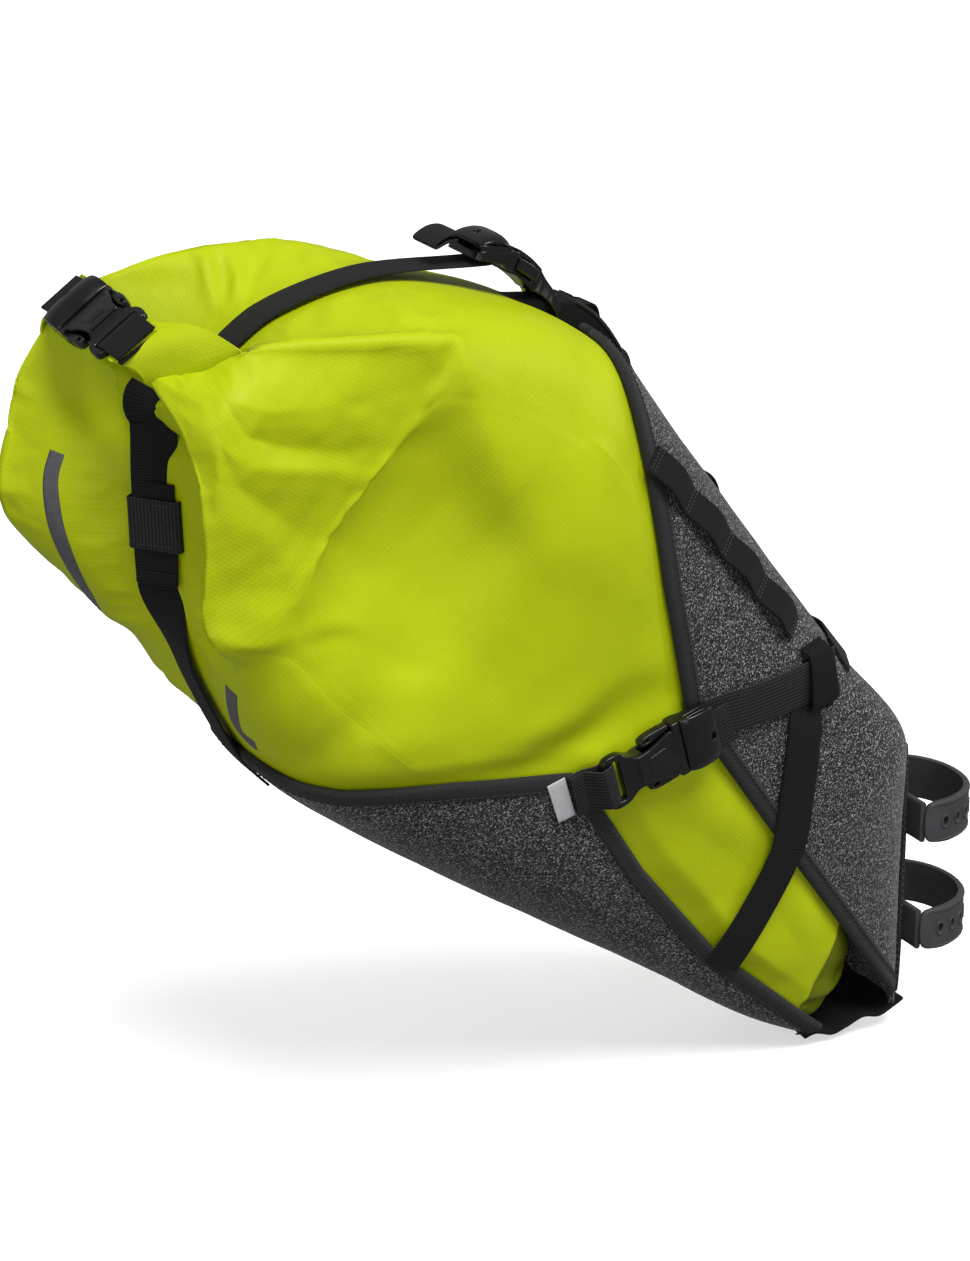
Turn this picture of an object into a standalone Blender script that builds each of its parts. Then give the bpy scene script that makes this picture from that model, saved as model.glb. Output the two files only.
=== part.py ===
# Saddle bag: stiff two-shell holster carrying a roll-top dry bag.
# Frame: origin in the middle of the flat seatpost face, +X forward to the
# seatpost, +Z up along the seatpost, +Y to the left side.  Work is in mm and
# is scaled to metres when the meshes are made.
import bpy
import bmesh
import math
import numpy as np
from mathutils import Vector, Matrix

# ---------------------------------------------------------------- dimensions
MM = 0.001
WEB_W = 25.0            # webbing width
WEB_T = 1.5             # webbing thickness
CROSS_W = 20.0          # cross strap width
DAISY_W = 19.0          # daisy chain width
SHELL_T = 3.0           # holster panel thickness
BAG_INSET = 3.7         # dry bag below the inner face of the shells
BAG_INSET_REAR = 1.0
STIFF_T = 1.4           # stiffener plates
SQUARE, SQUARE_REAR = 3.5, 4.2   # squareness of the bag sections, nose and rear
REAR_BULGE = (57.0, 8.0)         # dry bag beside the rear strap: left, right
TOP_BULGE = (24.0, 4.0)          # dry bag beside the top strap: left, right
STRAP_CLEAR = 0.235              # part of the width that stays flat under the strap
STRIPE_Y = 48.0         # grey stripes on the rear of the dry bag
FACE_HALF = 33.0        # seatpost face, half width
FACE_LOW, FACE_HIGH = -84.0, 80.0
PAD_T = 2.4
BIND_W = 5.5            # edge tape beyond the panel edge
BUCKLE_HALF = 17.5      # half width of a 25 mm side-release buckle
PLUG_TRAVEL = 22.0
LOOP_W = 26.0           # rubber strap width
LOOP_T = 3.6
LOOP_Z = (33.0, -35.0)  # heights of the two rubber straps
ROLL_R, ROLL_HOLE = 10.0, 6.0
ROLL_HALF = 79.0
T_TIP_UP, T_TIP_LOW = 7.0, 7.25
TOP_DIR = Vector((-0.612, 0.0, 0.791)).normalized()

# sections from nose to mouth: bottom x,z  top x,z  half width
STATIONS = (
    (-66, -92, -6, -83, 32.0),
    (-103, -74, -6, -30, 36.0),
    (-150, -42, -6, 25, 42.0),
    (-195, -12, -7, 80, 49.0),
    (-245, 21, -60, 149, 59.0),
    (-300, 57, -113, 218, 69.0),
    (-354, 94, -164, 284, 76.5),
    (-402, 132, -214, 348, 81.0),
    (-428, 174, -268, 375, 84.5),
    (-444, 217, -330, 388, 86.0),
    (-450, 260, -388, 376, 86.0),
    (-450, 303, -420, 353, 83.0),
    (-440, 322, -430, 336, 78.0),
)
# free edge of the side flaps, seen from the side (x, z)
UPPER_EDGE = ((-215, 362), (-208, 323), (-200, 275), (-191, 221), (-174, 149),
              (-107, 59), (-53, -12), (0, -84))
LOWER_EDGE = ((-412, 143), (-397, 135), (-379, 130), (-321, 127), (-250, 119),
              (-203, 50), (-145, -18), (-78, -76), (-64, -86))

for _o in list(bpy.data.objects):
    bpy.data.objects.remove(_o, do_unlink=True)


# ------------------------------------------------------------------- helpers
def pchip_slopes(v):
    n = len(v)
    d = [v[i + 1] - v[i] for i in range(n - 1)]
    m = [0.0] * n
    m[0], m[-1] = d[0], d[-1]
    for i in range(1, n - 1):
        if d[i - 1] * d[i] > 0:
            m[i] = 2 * d[i - 1] * d[i] / (d[i - 1] + d[i])
    return m


COLS = [list(map(float, c)) for c in zip(*STATIONS)]
SLOPES = [pchip_slopes(c) for c in COLS]
T_END = len(STATIONS) - 1


def station(t):
    t = min(max(t, 0.0), float(T_END))
    i = min(int(t), T_END - 1)
    u = t - i
    h00 = 2 * u ** 3 - 3 * u ** 2 + 1
    h10 = u ** 3 - 2 * u ** 2 + u
    h01 = -2 * u ** 3 + 3 * u ** 2
    h11 = u ** 3 - u ** 2
    return [h00 * c[i] + h10 * m[i] + h01 * c[i + 1] + h11 * m[i + 1]
            for c, m in zip(COLS, SLOPES)]


def spow(v, p):
    return math.copysign(abs(v) ** p, v)


def smooth(a, b, v):
    u = min(max((v - a) / (b - a), 0.0), 1.0)
    return u * u * (3 - 2 * u)


def squareness(t):
    return SQUARE + (SQUARE_REAR - SQUARE) * smooth(6.4, 9.0, t)


def surf(t, s, off):
    """Point on the bag form: s = 0 top, +pi/2 left side, pi bottom."""
    bx, bz, tx, tz, w = station(t)
    lx, lz = tx - bx, tz - bz
    ln = math.hypot(lx, lz)
    ex, ez = lx / ln, lz / ln
    k = 2 / squareness(t)
    a = (ln / 2 + off) * spow(math.cos(s), k)
    y = (w + off) * spow(math.sin(s), k)
    return Vector(((bx + tx) / 2 + ex * a, y, (bz + tz) / 2 + ez * a))


def surf_normal(t, s):
    e = 0.02
    du = surf(t + e, s, 3) - surf(t - e, s, 3)
    dv = surf(t, s + e, 3) - surf(t, s - e, 3)
    n = du.cross(dv)
    out = surf(t, s, 6) - surf(t, s, 2)
    if n.dot(out) < 0:
        n = -n
    return n.normalized()


_TT = [i * 0.25 for i in range(4 * T_END + 1)]
_SS = [-math.pi + k * math.pi / 30 for k in range(60)]
_PARAM = [(t, s) for t in _TT for s in _SS]
_CLOUD = np.array([tuple(surf(t, s, 3.0)) for t, s in _PARAM])


def closest(p):
    """Surface parameters nearest to a point."""
    k = int(np.argmin(((_CLOUD - np.array(tuple(p))) ** 2).sum(axis=1)))
    t, s = _PARAM[k]
    dt, ds = 0.2, 0.1
    best = (surf(t, s, 3.0) - p).length_squared
    while dt > 0.002:
        moved = False
        for a, b in ((dt, 0), (-dt, 0), (0, ds), (0, -ds)):
            t2, s2 = min(max(t + a, 0.0), float(T_END)), s + b
            d = (surf(t2, s2, 3.0) - p).length_squared
            if d < best - 1e-9:
                best, t, s, moved = d, t2, s2, True
        if not moved:
            dt *= 0.5
            ds *= 0.5
    return t, s


def on_surface(p, off):
    t, s = closest(Vector(p))
    n = surf_normal(t, s)
    return surf(t, s, 3.0) + n * (off - 3.0), n


def edge_angle(t, poly):
    """Ring angle (from the top) where a flap edge crosses the section."""
    bx, bz, tx, tz, _w = station(t)
    hit = None
    for (x0, z0), (x1, z1) in zip(poly, poly[1:]):
        rx, rz, qx, qz = tx - bx, tz - bz, x1 - x0, z1 - z0
        den = rx * qz - rz * qx
        if abs(den) < 1e-9:
            continue
        p = ((x0 - bx) * qz - (z0 - bz) * qx) / den
        u = ((x0 - bx) * rz - (z0 - bz) * rx) / den
        if -1e-6 <= u <= 1 + 1e-6 and 0 <= p <= 1:
            hit = p
            break
    if hit is None:
        return None
    q = 2 * hit - 1
    return math.acos(max(-1, min(1, spow(q, squareness(t) / 2))))


def width_angle(t, y):
    w = station(t)[4]
    return math.asin(min(0.98, (y / w)) ** (squareness(t) / 2))


def upper_half(t):
    a = edge_angle(t, UPPER_EDGE)
    low = width_angle(t, 26.0 if t < 3 else 26.0 - (t - 3) * 1.0)
    return max(low, a if a is not None else 0.0)


def lower_half(t):
    a = edge_angle(t, LOWER_EDGE)
    low = width_angle(t, min(24.0, station(t)[4] * 0.8) if t < 6.6 else 24.0 - (t - 6.6) * 14)
    return max(low, (math.pi - a) if a is not None else 0.0)


def arc_step(t, s):
    return (surf(t, s + 0.02, 3) - surf(t, s - 0.02, 3)).length / 0.04


def make(name, verts, faces, color, rough=0.7, metal=0.0, origin=(0, 0, 0)):
    me = bpy.data.meshes.new(name)
    o = Vector(origin)
    me.from_pydata([tuple((Vector(v) - o) * MM) for v in verts], [], faces)
    bm = bmesh.new()
    bm.from_mesh(me)
    bmesh.ops.remove_doubles(bm, verts=bm.verts, dist=1e-6)
    bmesh.ops.recalc_face_normals(bm, faces=bm.faces)
    vol = bm.calc_volume(signed=True)
    if vol < 0:
        bmesh.ops.reverse_faces(bm, faces=bm.faces)
    bm.to_mesh(me)
    bm.free()
    ob = bpy.data.objects.new(name, me)
    ob.location = o * MM
    bpy.context.scene.collection.objects.link(ob)
    mat = bpy.data.materials.new("m_" + name)
    mat.use_nodes = True
    b = mat.node_tree.nodes["Principled BSDF"]
    b.inputs["Base Color"].default_value = (*color, 1.0)
    b.inputs["Roughness"].default_value = rough
    b.inputs["Metallic"].default_value = metal
    me.materials.append(mat)
    return ob


def sheet_solid(name, inner, outer, color, **kw):
    """Closed plate between two equal grids of points."""
    nu, nv = len(inner), len(inner[0])
    verts = [p for row in inner for p in row] + [p for row in outer for p in row]
    k = nu * nv
    faces = []

    def idx(i, j, side):
        return side * k + i * nv + j
    for i in range(nu - 1):
        for j in range(nv - 1):
            for side in (0, 1):
                faces.append((idx(i, j, side), idx(i + 1, j, side),
                              idx(i + 1, j + 1, side), idx(i, j + 1, side)))
    for i in range(nu - 1):
        for j in (0, nv - 1):
            faces.append((idx(i, j, 0), idx(i + 1, j, 0), idx(i + 1, j, 1), idx(i, j, 1)))
    for j in range(nv - 1):
        for i in (0, nu - 1):
            faces.append((idx(i, j, 0), idx(i, j + 1, 0), idx(i, j + 1, 1), idx(i, j, 1)))
    return make(name, verts, faces, color, **kw)


def tube_solid(name, rings, color, **kw):
    """Closed body through a row of rings, both ends capped by fans."""
    n = len(rings[0])
    verts = [p for r in rings for p in r]
    faces = []
    for i in range(len(rings) - 1):
        for j in range(n):
            a, b = i * n + j, i * n + (j + 1) % n
            faces.append((a, b, b + n, a + n))
    for base, ring in ((0, rings[0]), ((len(rings) - 1) * n, rings[-1])):
        c = Vector((0, 0, 0))
        for p in ring:
            c += Vector(p)
        verts.append(c / n)
        ci = len(verts) - 1
        for j in range(n):
            faces.append((base + j, base + (j + 1) % n, ci))
    return make(name, verts, faces, color, **kw)


def ribbon(name, pts, nrm, width, thick, color, **kw):
    """Flat strap along a path; nrm gives the outer side at every point."""
    pts = [Vector(p) for p in pts]
    nrm = [Vector(n).normalized() for n in nrm]
    widths = width if isinstance(width, (list, tuple)) else [width] * len(pts)
    inner, outer = [], []
    for i, p in enumerate(pts):
        a = pts[max(i - 1, 0)]
        b = pts[min(i + 1, len(pts) - 1)]
        t = (b - a).normalized()
        n = (nrm[i] - t * nrm[i].dot(t)).normalized()
        side = t.cross(n).normalized()
        if 0 < i < len(pts) - 1:
            t1, t2 = (p - pts[i - 1]).normalized(), (pts[i + 1] - p).normalized()
            c = math.sqrt(max(0.3, (1 + t1.dot(t2)) / 2))
        else:
            c = 1.0
        lo, hi = p - n * thick / 2 / c, p + n * thick / 2 / c
        w = side * widths[i] / 2
        inner.append([lo - w, lo + w])
        outer.append([hi - w, hi + w])
    return sheet_solid(name, inner, outer, color, **kw)


def cells(name, xs, ys, zs, fill, warp, color, **kw):
    """Closed body from filled boxes of a grid, bent by warp."""
    nx, ny, nz = len(xs) - 1, len(ys) - 1, len(zs) - 1
    used, verts, faces = {}, [], []

    def full(i, j, k):
        return 0 <= i < nx and 0 <= j < ny and 0 <= k < nz and fill(i, j, k)

    def vid(i, j, k):
        if (i, j, k) not in used:
            used[(i, j, k)] = len(verts)
            verts.append(warp(xs[i], ys[j], zs[k]))
        return used[(i, j, k)]
    for i in range(nx):
        for j in range(ny):
            for k in range(nz):
                if not full(i, j, k):
                    continue
                if not full(i - 1, j, k):
                    faces.append((vid(i, j, k), vid(i, j, k + 1), vid(i, j + 1, k + 1), vid(i, j + 1, k)))
                if not full(i + 1, j, k):
                    faces.append((vid(i + 1, j, k), vid(i + 1, j + 1, k), vid(i + 1, j + 1, k + 1), vid(i + 1, j, k + 1)))
                if not full(i, j - 1, k):
                    faces.append((vid(i, j, k), vid(i + 1, j, k), vid(i + 1, j, k + 1), vid(i, j, k + 1)))
                if not full(i, j + 1, k):
                    faces.append((vid(i, j + 1, k), vid(i, j + 1, k + 1), vid(i + 1, j + 1, k + 1), vid(i + 1, j + 1, k)))
                if not full(i, j, k - 1):
                    faces.append((vid(i, j, k), vid(i, j + 1, k), vid(i + 1, j + 1, k), vid(i + 1, j, k)))
                if not full(i, j, k + 1):
                    faces.append((vid(i, j, k + 1), vid(i + 1, j, k + 1), vid(i + 1, j + 1, k + 1), vid(i, j + 1, k + 1)))
    return make(name, verts, faces, color, **kw)


def interp(x, table):
    for (x0, y0), (x1, y1) in zip(table, table[1:]):
        if x <= x1:
            return y0 + (y1 - y0) * (x - x0) / (x1 - x0) if x > x0 else y0
    return table[-1][1]


def frange(a, b, n):
    return [a + (b - a) * i / (n - 1) for i in range(n)]


LIME = (0.42, 0.62, 0.02)
GREY = (0.06, 0.06, 0.065)
BLACK = (0.012, 0.012, 0.013)
GLOSS = (0.01, 0.01, 0.011)
RUBBER = (0.045, 0.046, 0.048)
PALE = (0.7, 0.7, 0.72)
STRIPE = (0.1, 0.1, 0.11)


# ------------------------------------------------------------------- dry bag
def bag_inset(t):
    return interp(t, ((0, BAG_INSET), (7.0, BAG_INSET), (7.6, BAG_INSET_REAR), (12, BAG_INSET_REAR)))


def bag_bulge(t, q, p):
    """The soft bag stands out on both sides of the strap round its rear;
    q runs from -1 at the bottom of the section to +1 at its top."""
    side = 0 if p.y > 0 else 1
    y = abs(p.y)
    flat = STRAP_CLEAR * station(t)[4] + 0.5
    rear = smooth(-385, -440, p.x) * smooth(175, 275, p.z) * smooth(0.1, -0.5, q) * smooth(11.7, 11.0, t)
    top = interp(-p.x, ((240, 0.0), (300, 0.2), (330, 0.36), (390, 0.9), (408, 1.0), (436, 0.0))) * smooth(0.2, 0.75, q)
    return Vector((-REAR_BULGE[side] * smooth(flat, 60, y) * rear, 0,
                   TOP_BULGE[side] * smooth(flat, 54, y) * top))


def bag_point(t, s):
    p = surf(t, s, -bag_inset(t))
    return p + bag_bulge(t, spow(math.cos(s), 2 / squareness(t)), p)


def ring_angles(t):
    """Ring angles with points beside the strap and along the corners."""
    n = squareness(t)
    quarter = [math.asin(f ** (n / 2)) for f in (0.0, STRAP_CLEAR, 0.42, 0.62, 0.80, 0.93)]
    quarter += [math.acos(q ** (n / 2)) for q in (0.55, 0.28)]
    half = quarter + [math.pi / 2] + [math.pi - a for a in quarter[:0:-1]]
    return half + [math.pi] + [2 * math.pi - a for a in half[:0:-1]]


def bag_ring(t, k=1.0):
    c = surf(t, 0, 0).lerp(surf(t, math.pi, 0), 0.5)
    return [c + (bag_point(t, a) - c) * k for a in ring_angles(t)]


bag_rows = [(0.55, 0.45), (0.62, 0.78), (0.8, 0.95), (1.2, 1.0)]
bag_rows += [(t, 1.0) for t in (1.8, 2.4, 2.8, 3.1, 3.6, 4.2, 5, 5.8, 6.5, 7, 7.6, 8.2, 8.8, 9.4, 10, 10.6, 11.1, 11.6, 12)]
tube_solid("drybag_body", [bag_ring(t, k) for t, k in bag_rows], LIME, rough=0.45)

# rolled mouth: a sleeve with the mouth strip inside
mouth_b, mouth_t = Vector((STATIONS[-1][0], 0, STATIONS[-1][1])), Vector((STATIONS[-1][2], 0, STATIONS[-1][3]))
mouth_e = (mouth_t - mouth_b).normalized()
mouth_out = Vector((-mouth_e.z, 0, mouth_e.x))
ROLL_C = mouth_b.lerp(mouth_t, 0.5) + mouth_out * (ROLL_R + 1.6)


def roll_point(ang, r, y):
    return ROLL_C + mouth_e * (r * math.cos(ang)) + mouth_out * (r * math.sin(ang)) + Vector((0, y, 0))


def annulus(name, y0, y1, r_out, r_in, n, color, **kw):
    verts, faces = [], []
    for y in (y0, y1):
        for r in (r_out, r_in):
            verts += [roll_point(2 * math.pi * j / n, r, y) for j in range(n)]
    for j in range(n):
        k = (j + 1) % n
        faces.append((j, k, 2 * n + k, 2 * n + j))
        faces.append((n + k, n + j, 3 * n + j, 3 * n + k))
        faces.append((j, n + j, n + k, k))
        faces.append((2 * n + j, 2 * n + k, 3 * n + k, 3 * n + j))
    return make(name, verts, faces, color, **kw)


annulus("roll_bar", -ROLL_HALF, ROLL_HALF, ROLL_R, ROLL_HOLE, 20, LIME, rough=0.45)
cells("roll_stiffener", (-76, 76), (-4.6, 4.6), (-0.8, 0.8), lambda i, j, k: True,
      lambda x, y, z: ROLL_C + Vector((0, x, 0)) + mouth_e * y + mouth_out * z, BLACK)

# ends of the roll, bent over to the closing buckle
ROLL_SEAM = Vector((-472, 30, 377))
ROLL_X = Vector((0, -1, 0))
ROLL_Y = Vector((0.809, 0, 0.588))
ROLL_Z = ROLL_X.cross(ROLL_Y)


def roll_local(x, y, z):
    return ROLL_SEAM + ROLL_X * x + ROLL_Y * y + ROLL_Z * z


arm_r = [(-447, -86.5, 330), (-456, -86, 352), (-465, -77, 369), (-469, -62, 375), tuple(roll_local(79, 0, -2.5)), tuple(roll_local(64.5, 0, -1.8))]
nrm_r = [(-0.2, -1, 0.1), (-0.3, -0.9, 0.3), (-0.45, -0.5, 0.7), (-0.55, -0.2, 0.8), tuple(ROLL_Z), tuple(ROLL_Z)]
ribbon("roll_arm_r", arm_r, nrm_r, [16, 24, 30, 32, 32, 30], 7.5, LIME, rough=0.45)
arm_l = [(-455, 86, 334), (-469, 87, 337), (-479, 87, 345), (-481.5, 87, 357), (-478, 86, 369), tuple(roll_local(-55.5, 0, -3.4))]
nrm_l = [(-0.2, 0.5, -0.85), (-0.3, 0.7, -0.6), (-0.5, 0.85, -0.1), (-0.5, 0.8, 0.3), (-0.5, 0.4, 0.75), tuple(ROLL_Z)]
ribbon("roll_arm_l", arm_l, nrm_l, [16, 22, 27, 30, 31, 30], 6.5, LIME, rough=0.45)

# ---------------------------------------------------------------- the shells
rows = frange(0, T_TIP_UP, 25)
cols = 17
upper_in = [[surf(t, upper_half(t) * k, 0) for k in frange(-1, 1, cols)] for t in rows]
upper_out = [[surf(t, upper_half(t) * k, SHELL_T) for k in frange(-1, 1, cols)] for t in rows]
sheet_solid("upper_shell", upper_in, upper_out, GREY, rough=0.9)
rows_l = frange(0, T_TIP_LOW, 25)
lower_in = [[surf(t, math.pi + lower_half(t) * k, 0) for k in frange(-1, 1, cols)] for t in rows_l]
lower_out = [[surf(t, math.pi + lower_half(t) * k, SHELL_T) for k in frange(-1, 1, cols)] for t in rows_l]
sheet_solid("lower_shell", lower_in, lower_out, GREY, rough=0.9)


def binding(name, rows, half, centre, side):
    """Edge tape: a strip right beyond the flap edge."""
    inner, outer = [], []
    for t in rows:
        s0 = half(t)
        st = arc_step(t, centre + side * s0)
        a, b = s0 + 0.5 / st, s0 + (0.5 + BIND_W) / st
        inner.append([surf(t, centre + side * a, -0.5), surf(t, centre + side * b, -0.5)])
        outer.append([surf(t, centre + side * a, SHELL_T + 0.8), surf(t, centre + side * b, SHELL_T + 0.8)])
    sheet_solid(name, inner, outer, BLACK, rough=0.8)


for sfx, sd in (("r", -1), ("l", 1)):
    binding("upper_binding_" + sfx, rows[1:], upper_half, 0.0, sd)
    binding("lower_binding_" + sfx, rows_l[1:], lower_half, math.pi, -sd)

# plates inside the shells
rows_s = frange(0.55, 2.75, 8)
sheet_solid("seatpost_stiffener",
            [[surf(t, width_angle(t, 24.0) * k, -0.5 - STIFF_T) for k in frange(-1, 1, 5)] for t in rows_s],
            [[surf(t, width_angle(t, 24.0) * k, -0.5) for k in frange(-1, 1, 5)] for t in rows_s], BLACK, rough=0.5)
rows_s = frange(1.3, 6.4, 10)
sheet_solid("lower_stiffener",
            [[surf(t, math.pi + width_angle(t, 20.0) * k, -0.5 - STIFF_T) for k in frange(-1, 1, 5)] for t in rows_s],
            [[surf(t, math.pi + width_angle(t, 20.0) * k, -0.5) for k in frange(-1, 1, 5)] for t in rows_s], BLACK, rough=0.5)

# nose: fabric closing the gap under the two shells
nb, nt = Vector((STATIONS[0][0], 0, STATIONS[0][1])), Vector((STATIONS[0][2], 0, STATIONS[0][3]))
ne = (nt - nb).normalized()
nd = Vector((ne.z, 0, -ne.x))
cells("nose_gusset", (-4.0, 10.0, 25.0, 40.0, 54.0, 63.5), (-27.0, -12, 12, 27.0), (0.6, 2.8), lambda i, j, k: True,
      lambda x, y, z: nb + ne * x + nd * (z + 2.2 * math.sin(math.pi * (x + 4) / 67.5)) + Vector((0, y, 0)), BLACK, rough=0.8)

# flat grip panel on the seatpost face
cells("seatpost_pad", (-PAD_T, 0.0), (-FACE_HALF, -FACE_HALF + 6, FACE_HALF - 6, FACE_HALF),
      (FACE_LOW, FACE_LOW + 6, FACE_HIGH - 6, FACE_HIGH), lambda i, j, k: True,
      lambda x, y, z: Vector((x, y * (0.86 if (z in (FACE_LOW, FACE_HIGH)) else 1.0), z)), RUBBER, rough=0.85)


# ------------------------------------------------------------------- buckles
PLATE = ((0, 13.5), (4, 12.2), (8, 11.0), (12, 10.0), (16, 9.2), (20, 8.6), (40, 8.6))
NECK_IN = ((0, 13.2), (20, 12.2), (24, 10.6), (33, 13.2), (44, 13.2))
NECK_OUT = ((0, BUCKLE_HALF), (20, 15.0), (24, 13.4), (33, 16.6), (39.2, 16.8), (44, 14.8))
PRONG_IN = ((0.4, 14.5), (4, 13.3), (8, 12.6), (12, 12.2), (16, 11.8), (19.5, 12.6))
PRONG_OUT = ((0.4, 17.3), (4, 17.4), (8, 17.5), (12, 17.5), (16, 17.2), (19.5, 15.6))


def buckle(prefix, sfx, frame):
    """Side-release buckle; local +x is the way the plug goes in."""
    def socket_warp(x, y, z):
        half = {0: 0.0, 1: interp(x, PLATE), 2: interp(x, NECK_IN), 3: interp(x, NECK_OUT)}[abs(int(y))]
        kz = 1.0 if x < 21 else 0.56 if x < 36 else 0.34
        return frame(x, math.copysign(half, y), z * kz)

    def socket_fill(i, j, k):
        if i <= 4:
            return j == 2 and k != 1
        if i == 5:
            return j == 2
        if i == 7:
            return j in (0, 4)
        return True
    cells(prefix + "_socket" + sfx, (0, 4, 8, 12, 16, 20, 24, 33, 39.2, 44), (-3, -2, -1, 1, 2, 3),
          (-5, -3, 3, 5), socket_fill, socket_warp, GLOSS, rough=0.25)

    def plug_warp(x, y, z):
        half = {0: 0.0, 1: 7.0, 2: 13.2, 3: BUCKLE_HALF}[abs(int(y))]
        if x < -25 and abs(y) == 3:
            half -= 2.0
        kz = 0.6 if x < -6 else 1.0
        return frame(x, math.copysign(half, y), z * kz)

    def plug_fill(i, j, k):
        if i == 5:
            return j == 2 and k == 1
        if i in (1, 3):
            return j in (0, 4)
        return True
    o = frame(0, 0, 0)
    cells(prefix + "_plug" + sfx, (-27, -23, -16.5, -12.5, -6.5, 0, 18), (-3, -2, -1, 1, 2, 3),
          (-4.5, -2.6, 2.6, 4.5), plug_fill, plug_warp, GLOSS, rough=0.25, origin=o)
    for tag, sd in (("a", 1), ("b", -1)):
        def prong_warp(x, y, z, sd=sd):
            return frame(x, sd * (interp(x, PRONG_OUT) if y > 0 else interp(x, PRONG_IN)), z)
        cells(prefix + "_prong" + sfx + "_" + tag, (0.4, 4, 8, 12, 16, 19.5), (0, 1), (-2.6, 2.6),
              lambda i, j, k: True, prong_warp, GLOSS, rough=0.25, origin=frame(0.4, sd * 16.0, 0))


def bar_loop(name, frame, ends, color=BLACK):
    """Webbing folded round the end bar of a socket; ends = (x, z of the two
    layers) rows running away from the buckle."""
    low = [(x, zl) for x, zl, zh in reversed(ends)]
    high = [(x, zh) for x, zl, zh in ends]
    turn = [(45.4, -4.0), (41.3, -3.9), (38.1, -2.4), (37.1, 0.0), (38.1, 2.4), (41.3, 3.9), (45.4, 4.0)]
    path = low + turn + high
    pts = [frame(x, 0, z) for x, z in path]
    nrm = []
    for i in range(len(path)):
        a, b = path[max(i - 1, 0)], path[min(i + 1, len(path) - 1)]
        d = frame(b[0], 0, b[1]) - frame(a[0], 0, a[1])
        w = frame(0, 1, 0) - frame(0, 0, 0)
        n = d.cross(w)
        nrm.append(n)
    ribbon(name, pts, nrm, WEB_W, WEB_T, color, rough=0.8)


LADDER = ((-30, -5.0), (-14.5, -4.4), (-10.6, -2.8), (-9.4, 0.0), (-10.6, 2.8), (-14.5, 4.4), (-30, 5.4))


def ladder_strap(name, frame, approach, tail, width=WEB_W):
    """Strap that comes in under the plug, turns round its bar and ends in a
    tail on top.  approach = list of (point, outer normal)."""
    w = frame(0, 1, 0) - frame(0, 0, 0)
    zn = frame(0, 0, 1) - frame(0, 0, 0)
    pts = [p for p, _n in approach]
    nrm = [n for _p, n in approach]
    path = list(LADDER) + list(tail)
    for i, (x, z) in enumerate(path):
        a, b = path[max(i - 1, 0)], path[min(i + 1, len(path) - 1)]
        d = frame(b[0], 0, b[1]) - frame(a[0], 0, a[1])
        n = w.cross(d)
        if i == 0 and n.dot(zn) < 0:
            n = -n
        pts.append(frame(x, 0, z))
        nrm.append(n)
    sign = 1.0 if nrm[len(approach)].dot(zn) > 0 else -1.0
    for i in range(len(approach), len(nrm)):
        nrm[i] = nrm[i] * sign
    ribbon(name, pts, nrm, width, WEB_T, BLACK, rough=0.8)


def make_frame(o, x, zhint):
    x = x.normalized()
    z = (zhint - x * zhint.dot(x)).normalized()
    y = z.cross(x)
    return lambda a, b, c: o + x * a + y * b + z * c


# roll closure buckle
roll_frame = make_frame(ROLL_SEAM, ROLL_X, ROLL_Z)
buckle("roll", "", roll_frame)
bar_loop("roll_tab_r", roll_frame, [(53, -2.6, 2.2), (62, -1.9, 1.0)])
ladder_strap("roll_tab_l", roll_frame, [(roll_frame(-39.5, 0, -4.3), ROLL_Z)], [(-38, 5.0)])

# top buckle at the tip of the upper shell
TOP_SEAM = Vector((-256, 0, 389))
TOP_X = Vector((0.9, 0, -0.436)).normalized()
top_frame = make_frame(TOP_SEAM, TOP_X, Vector((0.436, 0, 0.9)))
buckle("top", "", top_frame)
# tab: two layers running down on the shell
tip_pts = [surf(t, 0, 5.6) for t in (6.86, 6.55, 6.2)]


def to_top(p):
    d = p - TOP_SEAM
    z = Vector((0.436, 0, 0.9)).normalized()
    return d.dot(TOP_X), d.dot(z)


tab_rows = []
for p in tip_pts:
    x, z = to_top(p)
    tab_rows.append((x, z - 1.0 + 0.0, z + 1.2))
bar_loop("top_tab", top_frame, tab_rows)


# ------------------------------------------------------- rear and top strap
def mid(t, s, off):
    return surf(t, s, off), (surf(t, s, off + 2) - surf(t, s, off)).normalized()


rear = [mid(t, math.pi, o) for t, o in ((6.75, 5.0), (7.05, 4.9), (7.3, 4.7), (7.6, 3.6), (8.0, 3.2), (8.5, 3.2), (9.0, 3.4), (9.6, 5.0))]
p_hi, n_hi = mid(11.0, math.pi, 5.2)
rear.append((p_hi, n_hi))
for ang in (172, 140, 110, 80):
    a = math.radians(ang)
    p = roll_point(a, ROLL_R + 2.6, 0)
    rear.append((p, (p - ROLL_C).normalized()))
ribbon("rear_strap", [p for p, _ in rear], [n for _, n in rear], WEB_W, WEB_T, BLACK, rough=0.8)
KEEP_A, KEEP_B = rear[7][0], rear[8][0]
top_run = []
for ang in (74, 50):
    a = math.radians(ang)
    p = roll_point(a, ROLL_R + 2.6, 0)
    top_run.append((p, (p - ROLL_C).normalized()))
for t, o in ((11.0, 4.0), (10.6, 3.4), (10.1, 3.4), (9.5, 4.0), (9.0, 6.0)):
    top_run.append(mid(t, 0, o))
ladder_strap("top_strap", top_frame, top_run, [(-37, 6.4), (-46, 8.8)])

# keeper and tail of the rear strap
kdir = (KEEP_B - KEEP_A).normalized()
kn = Vector((-kdir.z, 0, kdir.x))
if kn.x > 0:
    kn = -kn
KEEP_C = KEEP_A.lerp(KEEP_B, 0.58)


def keep_local(x, y, z):
    return KEEP_C + kdir * x + Vector((0, 1, 0)) * y + kn * z


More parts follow.
